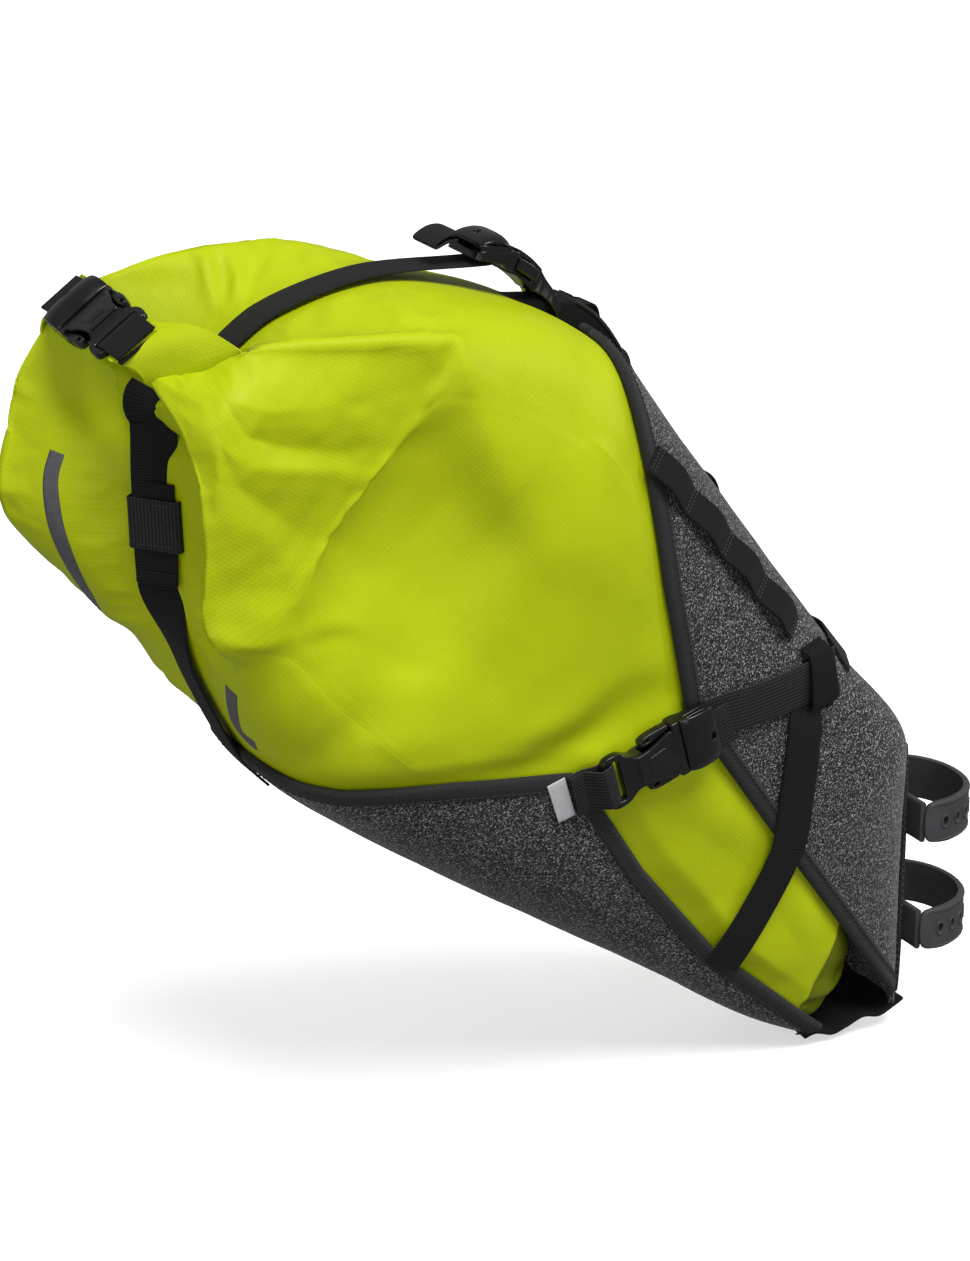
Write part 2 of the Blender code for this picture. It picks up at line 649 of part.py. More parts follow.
cells("strap_keeper", (-16, 0, 16), (-15.2, -13.4, 13.4, 15.2), (-2.2, -1.2, 3.2, 4.2),
      lambda i, j, k: not (j == 1 and k == 1), lambda x, y, z: keep_local(x, y, z), BLACK, rough=0.7, origin=KEEP_C)
ribbon("strap_tail", [keep_local(x, 0, z) for x, z in ((-30, 2.6), (-14, 1.9), (10, 1.9), (22, 1.9))],
       [kn] * 4, 24.0, WEB_T, BLACK, rough=0.8)

# --------------------------------------------------- both sides of the bag
for sfx, sd in (("r", -1), ("l", 1)):
    t0, s0 = closest(Vector((-193, sd * 80, 131)))
    n0 = surf_normal(t0, s0)
    seam = surf(t0, s0, 3.0) + n0 * 9.0
    xdir = Vector((-0.952, 0.0, -0.306))
    xdir = (xdir - n0 * xdir.dot(n0)).normalized()
    sf = make_frame(seam, xdir, n0)
    buckle("side", "_" + sfx, sf)

    def side_local(p, seam=seam, xdir=xdir, n0=n0):
        d = p - seam
        return d.dot(xdir), d.dot(n0)
    # sewn loop of the socket on the lower shell
    rows_t = []
    for x in (52.0, 56.5, 60.5):
        p, _n = on_surface(sf(x, 0, -9.0), 3.0)
        _lx, lz = side_local(p)
        rows_t.append((x, lz + 2.6, lz + 4.9))
    bar_loop("side_tab_" + sfx, sf, rows_t)
    pr = [on_surface(sf(x, 0, -9.0), 3.0 + 1.7) for x in (61.5, 66.0, 72.0)]
    ribbon("side_reflector_" + sfx, [p for p, _ in pr], [n for _, n in pr], 26.0, 1.0, PALE, rough=0.4)
    # strap from the plug up to the keeper
    k0, kn0 = on_surface((-72, sd * 51, 147.5), 5.3)
    approach = []
    for f in frange(0.0, 0.70, 6):
        q = k0.lerp(sf(-27, 0, -4.4), f)
        approach.append(on_surface(q, 5.3 + 1.6 * f))
    ladder_strap("side_strap_" + sfx, sf, approach, [(-36, 5.0)])
    # strap guide over the flap, crossing the strap
    p_c, n_c = on_surface(k0.lerp(sf(-27, 0, -4.4), 0.17), 3.0)
    along = (approach[0][0] - approach[1][0]).normalized()
    across = along.cross(n_c).normalized()
    kp = []
    for d, h in ((-19.4, 1.1), (-17.0, 2.0), (-14.8, 5.4), (-7, 5.8), (0, 5.8), (7, 5.8), (14.8, 5.4), (17.0, 2.0), (19.4, 1.1)):
        p, n = on_surface(p_c + across * d, 3.0 + h)
        kp.append((p, n))
    ribbon("rail_keeper_" + sfx, [p for p, _ in kp], [n for _, n in kp], 20.0, 1.2, BLACK, rough=0.6)
    # tie between the shells
    cp = []
    ties = [Vector((x, sd * y, z)) for x, y, z in ((-92, 57, 121), (-97, 57, 90), (-102, 54, 52), (-106.5, 52.5, 38), (-116, 50, 17), (-138, 45, -23))]
    for a, b in zip(ties, ties[1:]):
        for f in (0.0, 0.5):
            cp.append(on_surface(a.lerp(b, f), 3.0 + 2.4))
    cp.append(on_surface(ties[-1], 3.0 + 2.4))
    ribbon("cross_strap_" + sfx, [p for p, _ in cp], [n for _, n in cp], CROSS_W, WEB_T, BLACK, rough=0.8)
    # daisy chain down the side of the flap
    dp = []
    bows = 4
    for i in range(bows * 6 + 1):
        f = i / (bows * 6)
        q = Vector((-204, sd * 70, 292.5)).lerp(Vector((-105, sd * 56, 177)), f)
        up = 1.8 * math.sin(math.pi * ((f * bows) % 1.0)) ** 2 if 0 < f < 1 else 0.0
        dp.append(on_surface(q, 3.0 + 2.6 + up))
    ribbon("daisy_chain_" + sfx, [p for p, _ in dp], [n for _, n in dp], DAISY_W, WEB_T, BLACK, rough=0.8)
    # grey stripe on the rear of the dry bag
    rp = []
    for t in frange(10.7, 7.9, 9):
        w = width_angle(t, STRIPE_Y)
        p = bag_point(t, math.pi - sd * w)
        a = bag_point(t + 0.05, math.pi - sd * w) - bag_point(t - 0.05, math.pi - sd * w)
        b = bag_point(t, math.pi - sd * w + 0.03) - bag_point(t, math.pi - sd * w - 0.03)
        n = a.cross(b).normalized()
        if n.dot(Vector((-1, 0, -0.3))) < 0:
            n = -n
        rp.append((p + n * 2.6, n))
    ribbon("rear_reflector_" + sfx, [p for p, _ in rp], [n for _, n in rp], 9.0, 0.6, STRIPE, rough=0.4)

# strap across the top, flat in the middle
edge = []
for sd in (-1, 1):
    e = []
    for q in ((-59.5, 45, 153), (-56, 41, 155), (-54, 35, 156.5)):
        e.append(on_surface((q[0], sd * q[1], q[2]), 5.0))
    edge.append(e)
n_top = Vector((TOP_DIR.z, 0, -TOP_DIR.x))
flat = Vector((surf(4.02, 0, 0).x, 0, surf(4.02, 0, 0).z)) + n_top * 5.2
rail = edge[0] + [(flat + Vector((0, -22, 0)), n_top), (flat + Vector((0, 22, 0)), n_top)] + edge[1][::-1]
ribbon("rail_strap", [p for p, _ in rail], [n for _, n in rail], WEB_W, WEB_T, BLACK, rough=0.8)

# ---------------------------------------------------------- rubber straps
LOOP_PATH = ((1.8, -36.0), (8, -37.4), (16, -37.4), (25, -34.6), (33, -30), (40, -22.5), (44.4, -13), (46, -3), (45.6, 6), (43, 16),
             (37.5, 25.5), (30, 32.5), (21, 37.2), (13.5, 40.5), (9.0, 44.5), (7.6, 50.0), (7.6, 55.0), (7.6, 60.5), (7.6, 64.0))
LOOP_HOLES = (2, 4, 6, 8, 10, 16)   # path spans with a hole


def loop_at(i, w):
    pts = LOOP_PATH
    a, b = pts[max(i - 1, 0)], pts[min(i + 1, len(pts) - 1)]
    dx, dy = b[0] - a[0], b[1] - a[1]
    ln = math.hypot(dx, dy)
    return pts[i][0] + dy / ln * w, pts[i][1] - dx / ln * w


for tag, zc in zip(("upper", "lower"), LOOP_Z):
    n_sp = len(LOOP_PATH)

    def loop_warp(x, y, z, zc=zc):
        px, py = loop_at(int(round(x)), z)
        yy = y
        if int(round(x)) in (0, len(LOOP_PATH) - 1) and abs(y) > 10:
            yy = y * 0.72
        return Vector((px, py, zc + yy))
    cells("seatpost_strap_" + tag, list(range(n_sp)), (-LOOP_W / 2, -4.2, 4.2, LOOP_W / 2), (-LOOP_T / 2, LOOP_T / 2),
          lambda i, j, k: not (j == 1 and i in LOOP_HOLES), loop_warp, RUBBER, rough=0.6,
          origin=(1.8, -36.0, zc))
    # hook: plate at the far edge with a peg pointing forward and a thumb rest
    xs = (-1.6, 3.2, 13.0)
    ys = (33.0, 52.0, 55.6, 58.0, 63.0)
    zs = (-14.0, -2.6, 2.6, 20.0)

    def hook_fill(i, j, k):
        if i == 0:
            return True
        return j == 2 and k == 1

    def hook_warp(x, y, z, zc=zc):
        if y == 55.6:
            y = 56.0
        return Vector((x, y, zc + z))
    cells("strap_hook_" + tag, xs, ys, zs, hook_fill, hook_warp, RUBBER, rough=0.5)
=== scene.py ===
import bpy
import bmesh
import math
from functools import lru_cache
import numpy as np
from mathutils import Vector, Matrix
from mathutils import noise as mnoise
from mathutils.bvhtree import BVHTree
from mathutils.geometry import delaunay_2d_cdt


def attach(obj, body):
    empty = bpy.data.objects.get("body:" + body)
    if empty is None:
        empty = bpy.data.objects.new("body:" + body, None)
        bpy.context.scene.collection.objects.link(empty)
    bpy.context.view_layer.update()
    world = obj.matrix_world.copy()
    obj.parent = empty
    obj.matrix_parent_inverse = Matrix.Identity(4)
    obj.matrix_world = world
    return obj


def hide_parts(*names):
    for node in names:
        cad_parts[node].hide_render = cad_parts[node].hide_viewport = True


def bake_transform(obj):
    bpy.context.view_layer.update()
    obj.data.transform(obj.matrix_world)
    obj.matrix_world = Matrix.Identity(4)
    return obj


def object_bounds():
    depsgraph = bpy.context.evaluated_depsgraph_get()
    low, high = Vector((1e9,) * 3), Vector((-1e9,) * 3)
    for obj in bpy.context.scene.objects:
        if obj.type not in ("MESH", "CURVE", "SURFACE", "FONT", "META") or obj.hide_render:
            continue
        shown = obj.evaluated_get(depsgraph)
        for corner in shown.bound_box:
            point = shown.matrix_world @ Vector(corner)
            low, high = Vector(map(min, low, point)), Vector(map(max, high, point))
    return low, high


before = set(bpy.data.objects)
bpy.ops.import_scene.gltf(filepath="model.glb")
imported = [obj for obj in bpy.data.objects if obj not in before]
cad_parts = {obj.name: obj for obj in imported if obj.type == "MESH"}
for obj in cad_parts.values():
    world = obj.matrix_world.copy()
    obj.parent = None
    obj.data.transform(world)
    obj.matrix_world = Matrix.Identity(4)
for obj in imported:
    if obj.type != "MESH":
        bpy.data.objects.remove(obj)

cad_box = [[float(v) for v in c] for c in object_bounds()]
MM = 0.001
RNG = np.random.RandomState(7)

# ------------------------------------------------------------ stage and camera
scene = bpy.context.scene
scene.view_settings.view_transform = "Standard"
scene.view_settings.look = "None"
IMG_W, IMG_H = 970.0, 1261.0
AZ, EL = math.radians(27.0), math.radians(20.0)
CAM_T = Vector((-0.265, 0.0, 0.184))
CAM_R = Vector((math.cos(AZ), -math.sin(AZ), 0.0))
CAM_D = Vector((math.sin(AZ) * math.cos(EL), math.cos(AZ) * math.cos(EL), -math.sin(EL)))
CAM_U = CAM_R.cross(CAM_D)
CAM_P = CAM_T - CAM_D * 1.893
F_PX = 100.0 / 36.0 * IMG_H

cam_data = bpy.data.cameras.new("camera")
cam_data.lens = 100.0
cam_data.sensor_width = 36.0
cam_data.clip_end = 60.0
cam = bpy.data.objects.new("camera", cam_data)
m = Matrix((CAM_R, CAM_U, -CAM_D)).transposed().to_4x4()
m.translation = CAM_P
cam.matrix_world = m
scene.collection.objects.link(cam)
scene.camera = cam


def pixel_ray(px, py):
    return (CAM_D + CAM_R * ((px - IMG_W / 2) / F_PX) + CAM_U * ((IMG_H / 2 - py) / F_PX)).normalized()


def area_light(name, loc, target, size, power, color=(1, 1, 1)):
    data = bpy.data.lights.new(name, "AREA")
    data.shape = "DISK"
    data.size = size
    data.energy = power
    data.color = color
    ob = bpy.data.objects.new(name, data)
    ob.location = loc
    d = Vector(target) - Vector(loc)
    ob.rotation_euler = d.to_track_quat("-Z", "Y").to_euler()
    ob.visible_camera = False
    scene.collection.objects.link(ob)
    return ob


def sun_light(name, toward, strength, angle, color=(1, 1, 1)):
    data = bpy.data.lights.new(name, "SUN")
    data.energy = strength
    data.angle = math.radians(angle)
    data.color = color
    ob = bpy.data.objects.new(name, data)
    ob.rotation_euler = (-Vector(toward)).to_track_quat("-Z", "Y").to_euler()
    ob.location = Vector(toward) * 3
    scene.collection.objects.link(ob)
    return ob


sun_light("overhead", (0.0, -0.46, 0.888), 2.55, 30.0)
area_light("left", (-2.2, -0.6, 1.0), (-0.3, 0, 0.22), 1.2, 5.0)
area_light("low_front", (-1.5, -2.1, 0.12), (-0.3, 0, 0.12), 1.4, 11.0)
area_light("right", (1.9, -1.0, 1.25), (-0.2, 0, 0.15), 0.7, 12.0)
world = bpy.data.worlds.new("studio")
world.use_nodes = True
world.node_tree.nodes["Background"].inputs[0].default_value = (1.0, 1.0, 1.0, 1.0)
world.node_tree.nodes["Background"].inputs[1].default_value = 0.23
scene.world = world


# ------------------------------------------------------------------- materials
class Mat:
    """Small helper to write node materials; lengths are in mm of surface."""

    def __init__(self, name, rough=0.6, color=None):
        self.m = bpy.data.materials.new(name)
        self.m.use_nodes = True
        self.t = self.m.node_tree
        self.b = self.t.nodes["Principled BSDF"]
        self.b.inputs["Roughness"].default_value = rough
        if color:
            self.b.inputs["Base Color"].default_value = (*color, 1.0)

    def n(self, kind, **props):
        nd = self.t.nodes.new(kind)
        for k, v in props.items():
            setattr(nd, k, v)
        return nd

    def put(self, sock, v):
        if isinstance(v, bpy.types.NodeSocket):
            self.t.links.new(v, sock)
        else:
            sock.default_value = v

    def math(self, op, a, b=0.0, c=0.0):
        nd = self.n("ShaderNodeMath", operation=op)
        self.put(nd.inputs[0], a)
        self.put(nd.inputs[1], b)
        if len(nd.inputs) > 2:
            self.put(nd.inputs[2], c)
        return nd.outputs[0]

    def uv(self):
        u = self.n("ShaderNodeUVMap", uv_map="mm")
        s = self.n("ShaderNodeSeparateXYZ")
        self.t.links.new(u.outputs[0], s.inputs[0])
        return s.outputs[0], s.outputs[1]

    def vec(self, x, y, z=0.0):
        c = self.n("ShaderNodeCombineXYZ")
        self.put(c.inputs[0], x)
        self.put(c.inputs[1], y)
        self.put(c.inputs[2], z)
        return c.outputs[0]

    def obj(self):
        return self.n("ShaderNodeTexCoord").outputs["Object"]

    def noise(self, v, scale, detail=2.0, rough=0.5):
        nd = self.n("ShaderNodeTexNoise")
        self.put(nd.inputs["Vector"], v)
        nd.inputs["Scale"].default_value = scale
        nd.inputs["Detail"].default_value = detail
        nd.inputs["Roughness"].default_value = rough
        return nd.outputs[0]

    def ramp(self, fac, stops, mode="LINEAR"):
        nd = self.n("ShaderNodeValToRGB")
        nd.color_ramp.interpolation = mode
        e = nd.color_ramp.elements
        while len(e) < len(stops):
            e.new(0.5)
        for i, (p, c) in enumerate(stops):
            e[i].position = p
            e[i].color = (*c, 1.0) if len(c) == 3 else c
        self.put(nd.inputs[0], fac)
        return nd.outputs[0]

    def mix(self, fac, a, b):
        nd = self.n("ShaderNodeMix", data_type="RGBA")
        self.put(nd.inputs[0], fac)
        self.put(nd.inputs[6], a if isinstance(a, bpy.types.NodeSocket) else (*a, 1.0))
        self.put(nd.inputs[7], b if isinstance(b, bpy.types.NodeSocket) else (*b, 1.0))
        return nd.outputs[2]

    def maprange(self, v, a, b, c, d):
        nd = self.n("ShaderNodeMapRange")
        self.put(nd.inputs[0], v)
        for i, x in zip((1, 2, 3, 4), (a, b, c, d)):
            nd.inputs[i].default_value = x
        return nd.outputs[0]

    def bump(self, h, dist, strength=1.0, chain=None):
        nd = self.n("ShaderNodeBump")
        nd.inputs["Strength"].default_value = strength
        nd.inputs["Distance"].default_value = dist
        self.put(nd.inputs["Height"], h)
        if chain is not None:
            self.put(nd.inputs["Normal"], chain)
        return nd.outputs[0]

    def wave(self, v, pitch):
        """0..1 sine of a length in mm."""
        return self.math("MULTIPLY_ADD", self.math("SINE", self.math("MULTIPLY", v, 2 * math.pi / pitch)), 0.5, 0.5)

    def out(self, color=None, rough=None, normal=None):
        if color is not None:
            self.put(self.b.inputs["Base Color"], color)
        if rough is not None:
            self.put(self.b.inputs["Roughness"], rough)
        if normal is not None:
            self.put(self.b.inputs["Normal"], normal)
        return self.m


def mat_lime(name="ripstop_lime", dark=1.0):
    a = Mat(name)
    u, v = a.uv()
    wob = a.noise(a.obj(), 60.0, 2.0)
    uu = a.math("MULTIPLY_ADD", wob, 0.7, u)
    vv = a.math("MULTIPLY_ADD", wob, 0.6, v)
    lu = a.math("POWER", a.wave(uu, 2.3), 7.0)
    lv = a.math("POWER", a.wave(vv, 2.3), 7.0)
    grid = a.math("MAXIMUM", lu, lv)
    weave = a.math("MULTIPLY", a.wave(uu, 0.58), a.wave(vv, 0.58))
    big = a.noise(a.obj(), 13.0, 3.0)
    fine = a.noise(a.obj(), 170.0, 3.0, 0.6)
    # dark below 1 darkens every colour of the ripstop; the 0.32 copy is painted shade
    k = dark
    col = a.ramp(big, [(0.25, (0.485 * k, 0.595 * k, 0.004 * k)), (0.75, (0.545 * k, 0.65 * k, 0.006 * k))])
    patch = a.math("MULTIPLY", grid, a.maprange(fine, 0.42, 0.62, 0.15, 1.0))
    col = a.mix(a.math("MULTIPLY", patch, 0.30), col, (0.66 * k, 0.76 * k, 0.035 * k))
    col = a.mix(a.math("MULTIPLY", a.maprange(fine, 0.35, 0.7, 0.0, 1.0), 0.10), col, (0.38 * k, 0.48 * k, 0.002 * k))
    h = a.math("MULTIPLY_ADD", grid, 0.8, a.math("MULTIPLY", weave, 0.25))
    n1 = a.bump(h, 0.00012, 0.55)
    n2 = a.bump(a.noise(a.obj(), 95.0, 4.0, 0.55), 0.0011, 0.22, n1)
    r = a.math("ADD", a.maprange(big, 0.3, 0.7, 0.44, 0.55), a.math("MULTIPLY", patch, -0.07))
    a.b.inputs["Specular IOR Level"].default_value = 0.16
    return a.out(col, r, n2)


def mat_melange():
    a = Mat("melange_grey", 0.9)
    u, v = a.uv()
    weft = a.noise(a.vec(a.math("MULTIPLY", u, 0.42), a.math("MULTIPLY", v, 1.5)), 1.0, 2.0, 0.6)
    warp = a.noise(a.vec(a.math("MULTIPLY", u, 1.5), a.math("MULTIPLY", v, 0.42), 7.0), 1.0, 2.0, 0.6)
    over = a.math("GREATER_THAN", a.math("MULTIPLY", a.math("SINE", a.math("MULTIPLY", u, 2 * math.pi / 1.7)),
                                         a.math("SINE", a.math("MULTIPLY", v, 2 * math.pi / 1.7))), 0.0)
    yarn = a.math("ADD", a.math("MULTIPLY", weft, over), a.math("MULTIPLY", warp, a.math("SUBTRACT", 1.0, over)))
    fleck = a.noise(a.vec(u, v, 3.0), 1.2, 1.0)
    mixed = a.math("MULTIPLY_ADD", fleck, 0.45, a.math("MULTIPLY", yarn, 0.55))
    col = a.ramp(mixed, [(0.40, (0.005, 0.005, 0.006)), (0.50, (0.022, 0.022, 0.025)), (0.56, (0.11, 0.11, 0.117)), (0.62, (0.62, 0.62, 0.63))])
    broad = a.noise(a.obj(), 9.0, 2.0)
    col = a.mix(a.maprange(broad, 0.35, 0.7, 0.0, 0.22), col, (0.02, 0.02, 0.023))
    h = a.math("MULTIPLY", a.wave(u, 0.85), a.wave(v, 0.85))
    n1 = a.bump(a.math("ADD", h, mixed), 0.00035, 0.6)
    n2 = a.bump(a.noise(a.obj(), 28.0, 3.0), 0.0012, 0.25, n1)
    a.b.inputs["Specular IOR Level"].default_value = 0.15
    a.b.inputs["Sheen Weight"].default_value = 0.26
    a.b.inputs["Sheen Roughness"].default_value = 0.35
    return a.out(col, None, n2)


def mat_webbing(name, along, across, tone=1.0):
    """u runs across the strap, v along it; ribs along and across."""
    a = Mat(name, 0.72)
    u, v = a.uv()
    ru = a.wave(u, 2.05)
    rv = a.wave(v, 1.55)
    tw = a.wave(a.math("ADD", u, v), 0.9)
    h = a.math("ADD", a.math("MULTIPLY", ru, along), a.math("MULTIPLY", rv, across))
    h = a.math("MULTIPLY_ADD", tw, 0.22, h)
    fuzz = a.noise(a.vec(u, v), 1.9, 3.0, 0.7)
    k = tone
    col = a.ramp(a.math("MULTIPLY_ADD", fuzz, 0.55, a.math("MULTIPLY", h, 0.42)),
                 [(0.22, (0.003 * k, 0.003 * k, 0.0034 * k)), (0.55, (0.0105 * k, 0.0105 * k, 0.0118 * k)), (0.88, (0.046 * k, 0.046 * k, 0.05 * k))])
    n1 = a.bump(h, 0.0005, 0.75)
    n2 = a.bump(fuzz, 0.0002, 0.4, n1)
    a.b.inputs["Specular IOR Level"].default_value = 0.16
    a.b.inputs["Sheen Weight"].default_value = 0.03
    return a.out(col, a.maprange(fuzz, 0.3, 0.7, 0.62, 0.82), n2)


def mat_herringbone():
    a = Mat("binding_tape", 0.75)
    u, v = a.uv()
    saw = a.math("PINGPONG", u, 2.6)
    tw = a.wave(a.math("ADD", a.math("MULTIPLY", saw, 1.1), v), 1.25)
    fuzz = a.noise(a.vec(u, v), 1.7, 2.0, 0.6)
    col = a.ramp(a.math("MULTIPLY_ADD", fuzz, 0.4, a.math("MULTIPLY", tw, 0.6)),
                 [(0.2, (0.0045, 0.0045, 0.005)), (0.6, (0.016, 0.016, 0.0175)), (0.9, (0.095, 0.095, 0.1))])
    n1 = a.bump(tw, 0.00035, 0.7)
    n2 = a.bump(fuzz, 0.0002, 0.4, n1)
    a.b.inputs["Specular IOR Level"].default_value = 0.16
    a.b.inputs["Sheen Weight"].default_value = 0.08
    return a.out(col, a.maprange(tw, 0.0, 1.0, 0.8, 0.62), n2)


def mat_acetal(name="acetal_black", rough=0.17):
    a = Mat(name, rough)
    big = a.noise(a.obj(), 90.0, 3.0)
    fine = a.noise(a.obj(), 900.0, 2.0)
    scr = a.noise(a.n("ShaderNodeMapping").outputs[0], 1.0)
    mp = [x for x in a.t.nodes if x.type == "MAPPING"][0]
    a.put(mp.inputs[0], a.obj())
    mp.inputs["Scale"].default_value = (2200.0, 260.0, 700.0)
    col = a.ramp(big, [(0.3, (0.005, 0.005, 0.0054)), (0.7, (0.009, 0.009, 0.0097))])
    col = a.mix(a.maprange(scr, 0.66, 0.8, 0.0, 0.35), col, (0.05, 0.05, 0.052))
    r = a.math("ADD", a.maprange(big, 0.3, 0.7, rough - 0.03, rough + 0.08), a.maprange(scr, 0.6, 0.8, 0.0, 0.12))
    n1 = a.bump(fine, 0.00003, 0.5)
    a.b.inputs["Specular IOR Level"].default_value = 0.5
    return a.out(col, r, n1)


def mat_rubber(name="rubber_grey", k=1.0, rough=0.58):
    a = Mat(name, rough)
    big = a.noise(a.obj(), 45.0, 4.0, 0.6)
    fine = a.noise(a.obj(), 620.0, 3.0, 0.7)
    col = a.ramp(big, [(0.3, (0.040 * k, 0.041 * k, 0.044 * k)), (0.7, (0.062 * k, 0.063 * k, 0.067 * k))])
    col = a.mix(a.maprange(fine, 0.58, 0.75, 0.0, 0.25), col, (0.12 * k, 0.12 * k, 0.125 * k))
    n1 = a.bump(fine, 0.00008, 0.6)
    return a.out(col, a.maprange(big, 0.3, 0.7, rough - 0.07, rough + 0.07), n1)


def mat_pad():
    a = Mat("grip_pad", 0.8)
    u, v = a.uv()
    d1 = a.wave(a.math("ADD", u, v), 4.4)
    d2 = a.wave(a.math("SUBTRACT", u, v), 4.4)
    dia = a.math("POWER", a.math("MULTIPLY", d1, d2), 0.6)
    fine = a.noise(a.obj(), 500.0, 3.0)
    col = a.ramp(a.math("MULTIPLY_ADD", fine, 0.3, a.math("MULTIPLY", dia, 0.7)), [(0.1, (0.012, 0.012, 0.013)), (0.8, (0.05, 0.05, 0.053))])
    n1 = a.bump(dia, 0.0007, 0.7)
    n2 = a.bump(fine, 0.0001, 0.5, n1)
    return a.out(col, a.maprange(dia, 0.0, 1.0, 0.85, 0.6), n2)


def mat_reflective(name, lo, hi, rough=0.42):
    a = Mat(name, rough)
    u, v = a.uv()
    dot = a.math("MULTIPLY", a.wave(u, 0.9), a.wave(v, 0.9))
    fine = a.noise(a.obj(), 260.0, 3.0)
    col = a.ramp(a.math("MULTIPLY_ADD", fine, 0.6, a.math("MULTIPLY", dot, 0.4)), [(0.25, lo), (0.75, hi)])
    n1 = a.bump(dot, 0.00012, 0.5)
    a.b.inputs["Specular IOR Level"].default_value = 0.6
    return a.out(col, a.maprange(fine, 0.3, 0.7, rough - 0.06, rough + 0.1), n1)


def mat_thread():
    a = Mat("thread", 0.6)
    u, v = a.uv()
    tw = a.wave(a.math("ADD", u, v), 0.5)
    fine = a.noise(a.obj(), 800.0, 2.0)
    col = a.ramp(a.math("MULTIPLY_ADD", fine, 0.5, a.math("MULTIPLY", tw, 0.5)), [(0.2, (0.012, 0.012, 0.013)), (0.8, (0.045, 0.045, 0.048))])
    return a.out(col, None, a.bump(tw, 0.0001, 0.5))


def mat_plate():
    a = Mat("stiffener_black", 0.5)
    g = a.noise(a.obj(), 240.0, 4.0, 0.7)
    col = a.ramp(g, [(0.3, (0.014, 0.014, 0.015)), (0.7, (0.03, 0.03, 0.031))])
    return a.out(col, a.maprange(g, 0.3, 0.7, 0.42, 0.6), a.bump(g, 0.0001, 0.6))


def mat_floor():
    a = Mat("floor_pale", 0.6)
    g = a.noise(a.obj(), 3.0, 2.0)
    col = a.ramp(g, [(0.3, (0.925, 0.925, 0.925)), (0.7, (0.94, 0.94, 0.94))])
    return a.out(col, None, None)


LIME = mat_lime()
# darkened copy of the lime ripstop: painted shade for the nose-end cap deep in the recess under the shells
LIME_SHADED = mat_lime("ripstop_painted_shade", 0.32)
MELANGE = mat_melange()
WEB_X = mat_webbing("webbing_cross", 0.10, 0.55)
WEB_L = mat_webbing("webbing_long", 0.62, 0.30, 1.7)
WEB_T = mat_webbing("webbing_fine", 0.22, 0.34, 1.9)
TAPE = mat_herringbone()
ACETAL = mat_acetal()
ACETAL_M = mat_acetal("acetal_satin", 0.26)
RUBBER = mat_rubber()
PAD = mat_pad()
PALE = mat_reflective("reflective_pale", (0.50, 0.51, 0.53), (0.74, 0.74, 0.76))
STRIPE = mat_reflective("reflective_grey", (0.075, 0.075, 0.085), (0.135, 0.135, 0.15), 0.5)
THREAD = mat_thread()
PLATE = mat_plate()
GUSSET = mat_webbing("gusset_cloth", 0.25, 0.25, 0.6)

# floor
floor_me = bpy.data.meshes.new("floor")
floor_me.from_pydata([(-14, -14, 0), (14, -14, 0), (14, 14, 0), (-14, 14, 0)], [], [(0, 1, 2, 3)])
floor = bpy.data.objects.new("floor", floor_me)
floor.location = (0, 0, cad_box[0][2] - 0.004)
floor_me.materials.append(mat_floor())
scene.collection.objects.link(floor)
floor.visible_diffuse = False
floor.visible_glossy = False
wash = sun_light("floor_wash", (0.0, 0.0, 1.0), 2.1, 30.0)
wash.data.use_shadow = False
only_floor = bpy.data.collections.new("floor_only")
only_floor.objects.link(floor)
wash.light_linking.receiver_collection = only_floor

# -------------------------------------------------------- the bag's basic form
SHELL_T = 3.0
SQUARE, SQUARE_REAR = 3.5, 4.2
STATIONS = (
    (-66, -92, -6, -83, 32.0),
    (-103, -74, -6, -30, 36.0),
    (-150, -42, -6, 25, 42.0),
    (-195, -12, -7, 80, 49.0),
    (-245, 21, -60, 149, 59.0),
    (-300, 57, -113, 218, 69.0),
    (-354, 94, -164, 284, 76.5),
    (-402, 132, -214, 348, 81.0),
    (-428, 174, -268, 375, 84.5),
    (-444, 217, -330, 388, 86.0),
    (-450, 260, -388, 376, 86.0),
    (-450, 303, -420, 353, 83.0),
    (-440, 322, -430, 336, 78.0),
)
UPPER_EDGE = ((-215, 362), (-208, 323), (-200, 275), (-191, 221), (-174, 149),
              (-107, 59), (-53, -12), (0, -84))
LOWER_EDGE = ((-412, 143), (-397, 135), (-379, 130), (-321, 127), (-250, 119),
              (-203, 50), (-145, -18), (-78, -76), (-64, -86))
T_TIP_UP, T_TIP_LOW = 7.0, 7.25
ROLL_R = 10.0


def slopes(v):
    d = [v[i + 1] - v[i] for i in range(len(v) - 1)]
    out = [0.0] * len(v)
    out[0], out[-1] = d[0], d[-1]
    for i in range(1, len(v) - 1):
        if d[i - 1] * d[i] > 0:
            out[i] = 2 * d[i - 1] * d[i] / (d[i - 1] + d[i])
    return out


COLS = [list(map(float, c)) for c in zip(*STATIONS)]
SLOPES = [slopes(c) for c in COLS]
T_END = len(STATIONS) - 1


@lru_cache(maxsize=None)
def station(t):
    t = min(max(t, 0.0), float(T_END))
    i = min(int(t), T_END - 1)
    u = t - i
    h00 = 2 * u ** 3 - 3 * u ** 2 + 1
    h10 = u ** 3 - 2 * u ** 2 + u
    h01 = -2 * u ** 3 + 3 * u ** 2
    h11 = u ** 3 - u ** 2
    return [h00 * c[i] + h10 * s[i] + h01 * c[i + 1] + h11 * s[i + 1] for c, s in zip(COLS, SLOPES)]


def spow(v, p):
    return math.copysign(abs(v) ** p, v)


def smooth(a, b, v):
    u = min(max((v - a) / (b - a), 0.0), 1.0)
    return u * u * (3 - 2 * u)


def lerp(a, b, f):
    return a + (b - a) * f


def interp(x, table):
    if x <= table[0][0]:
        return table[0][1]
    for (x0, y0), (x1, y1) in zip(table, table[1:]):
        if x <= x1:
            return y0 + (y1 - y0) * (x - x0) / (x1 - x0)
    return table[-1][1]


def frange(a, b, n):
    return [a + (b - a) * i / (n - 1) for i in range(n)]


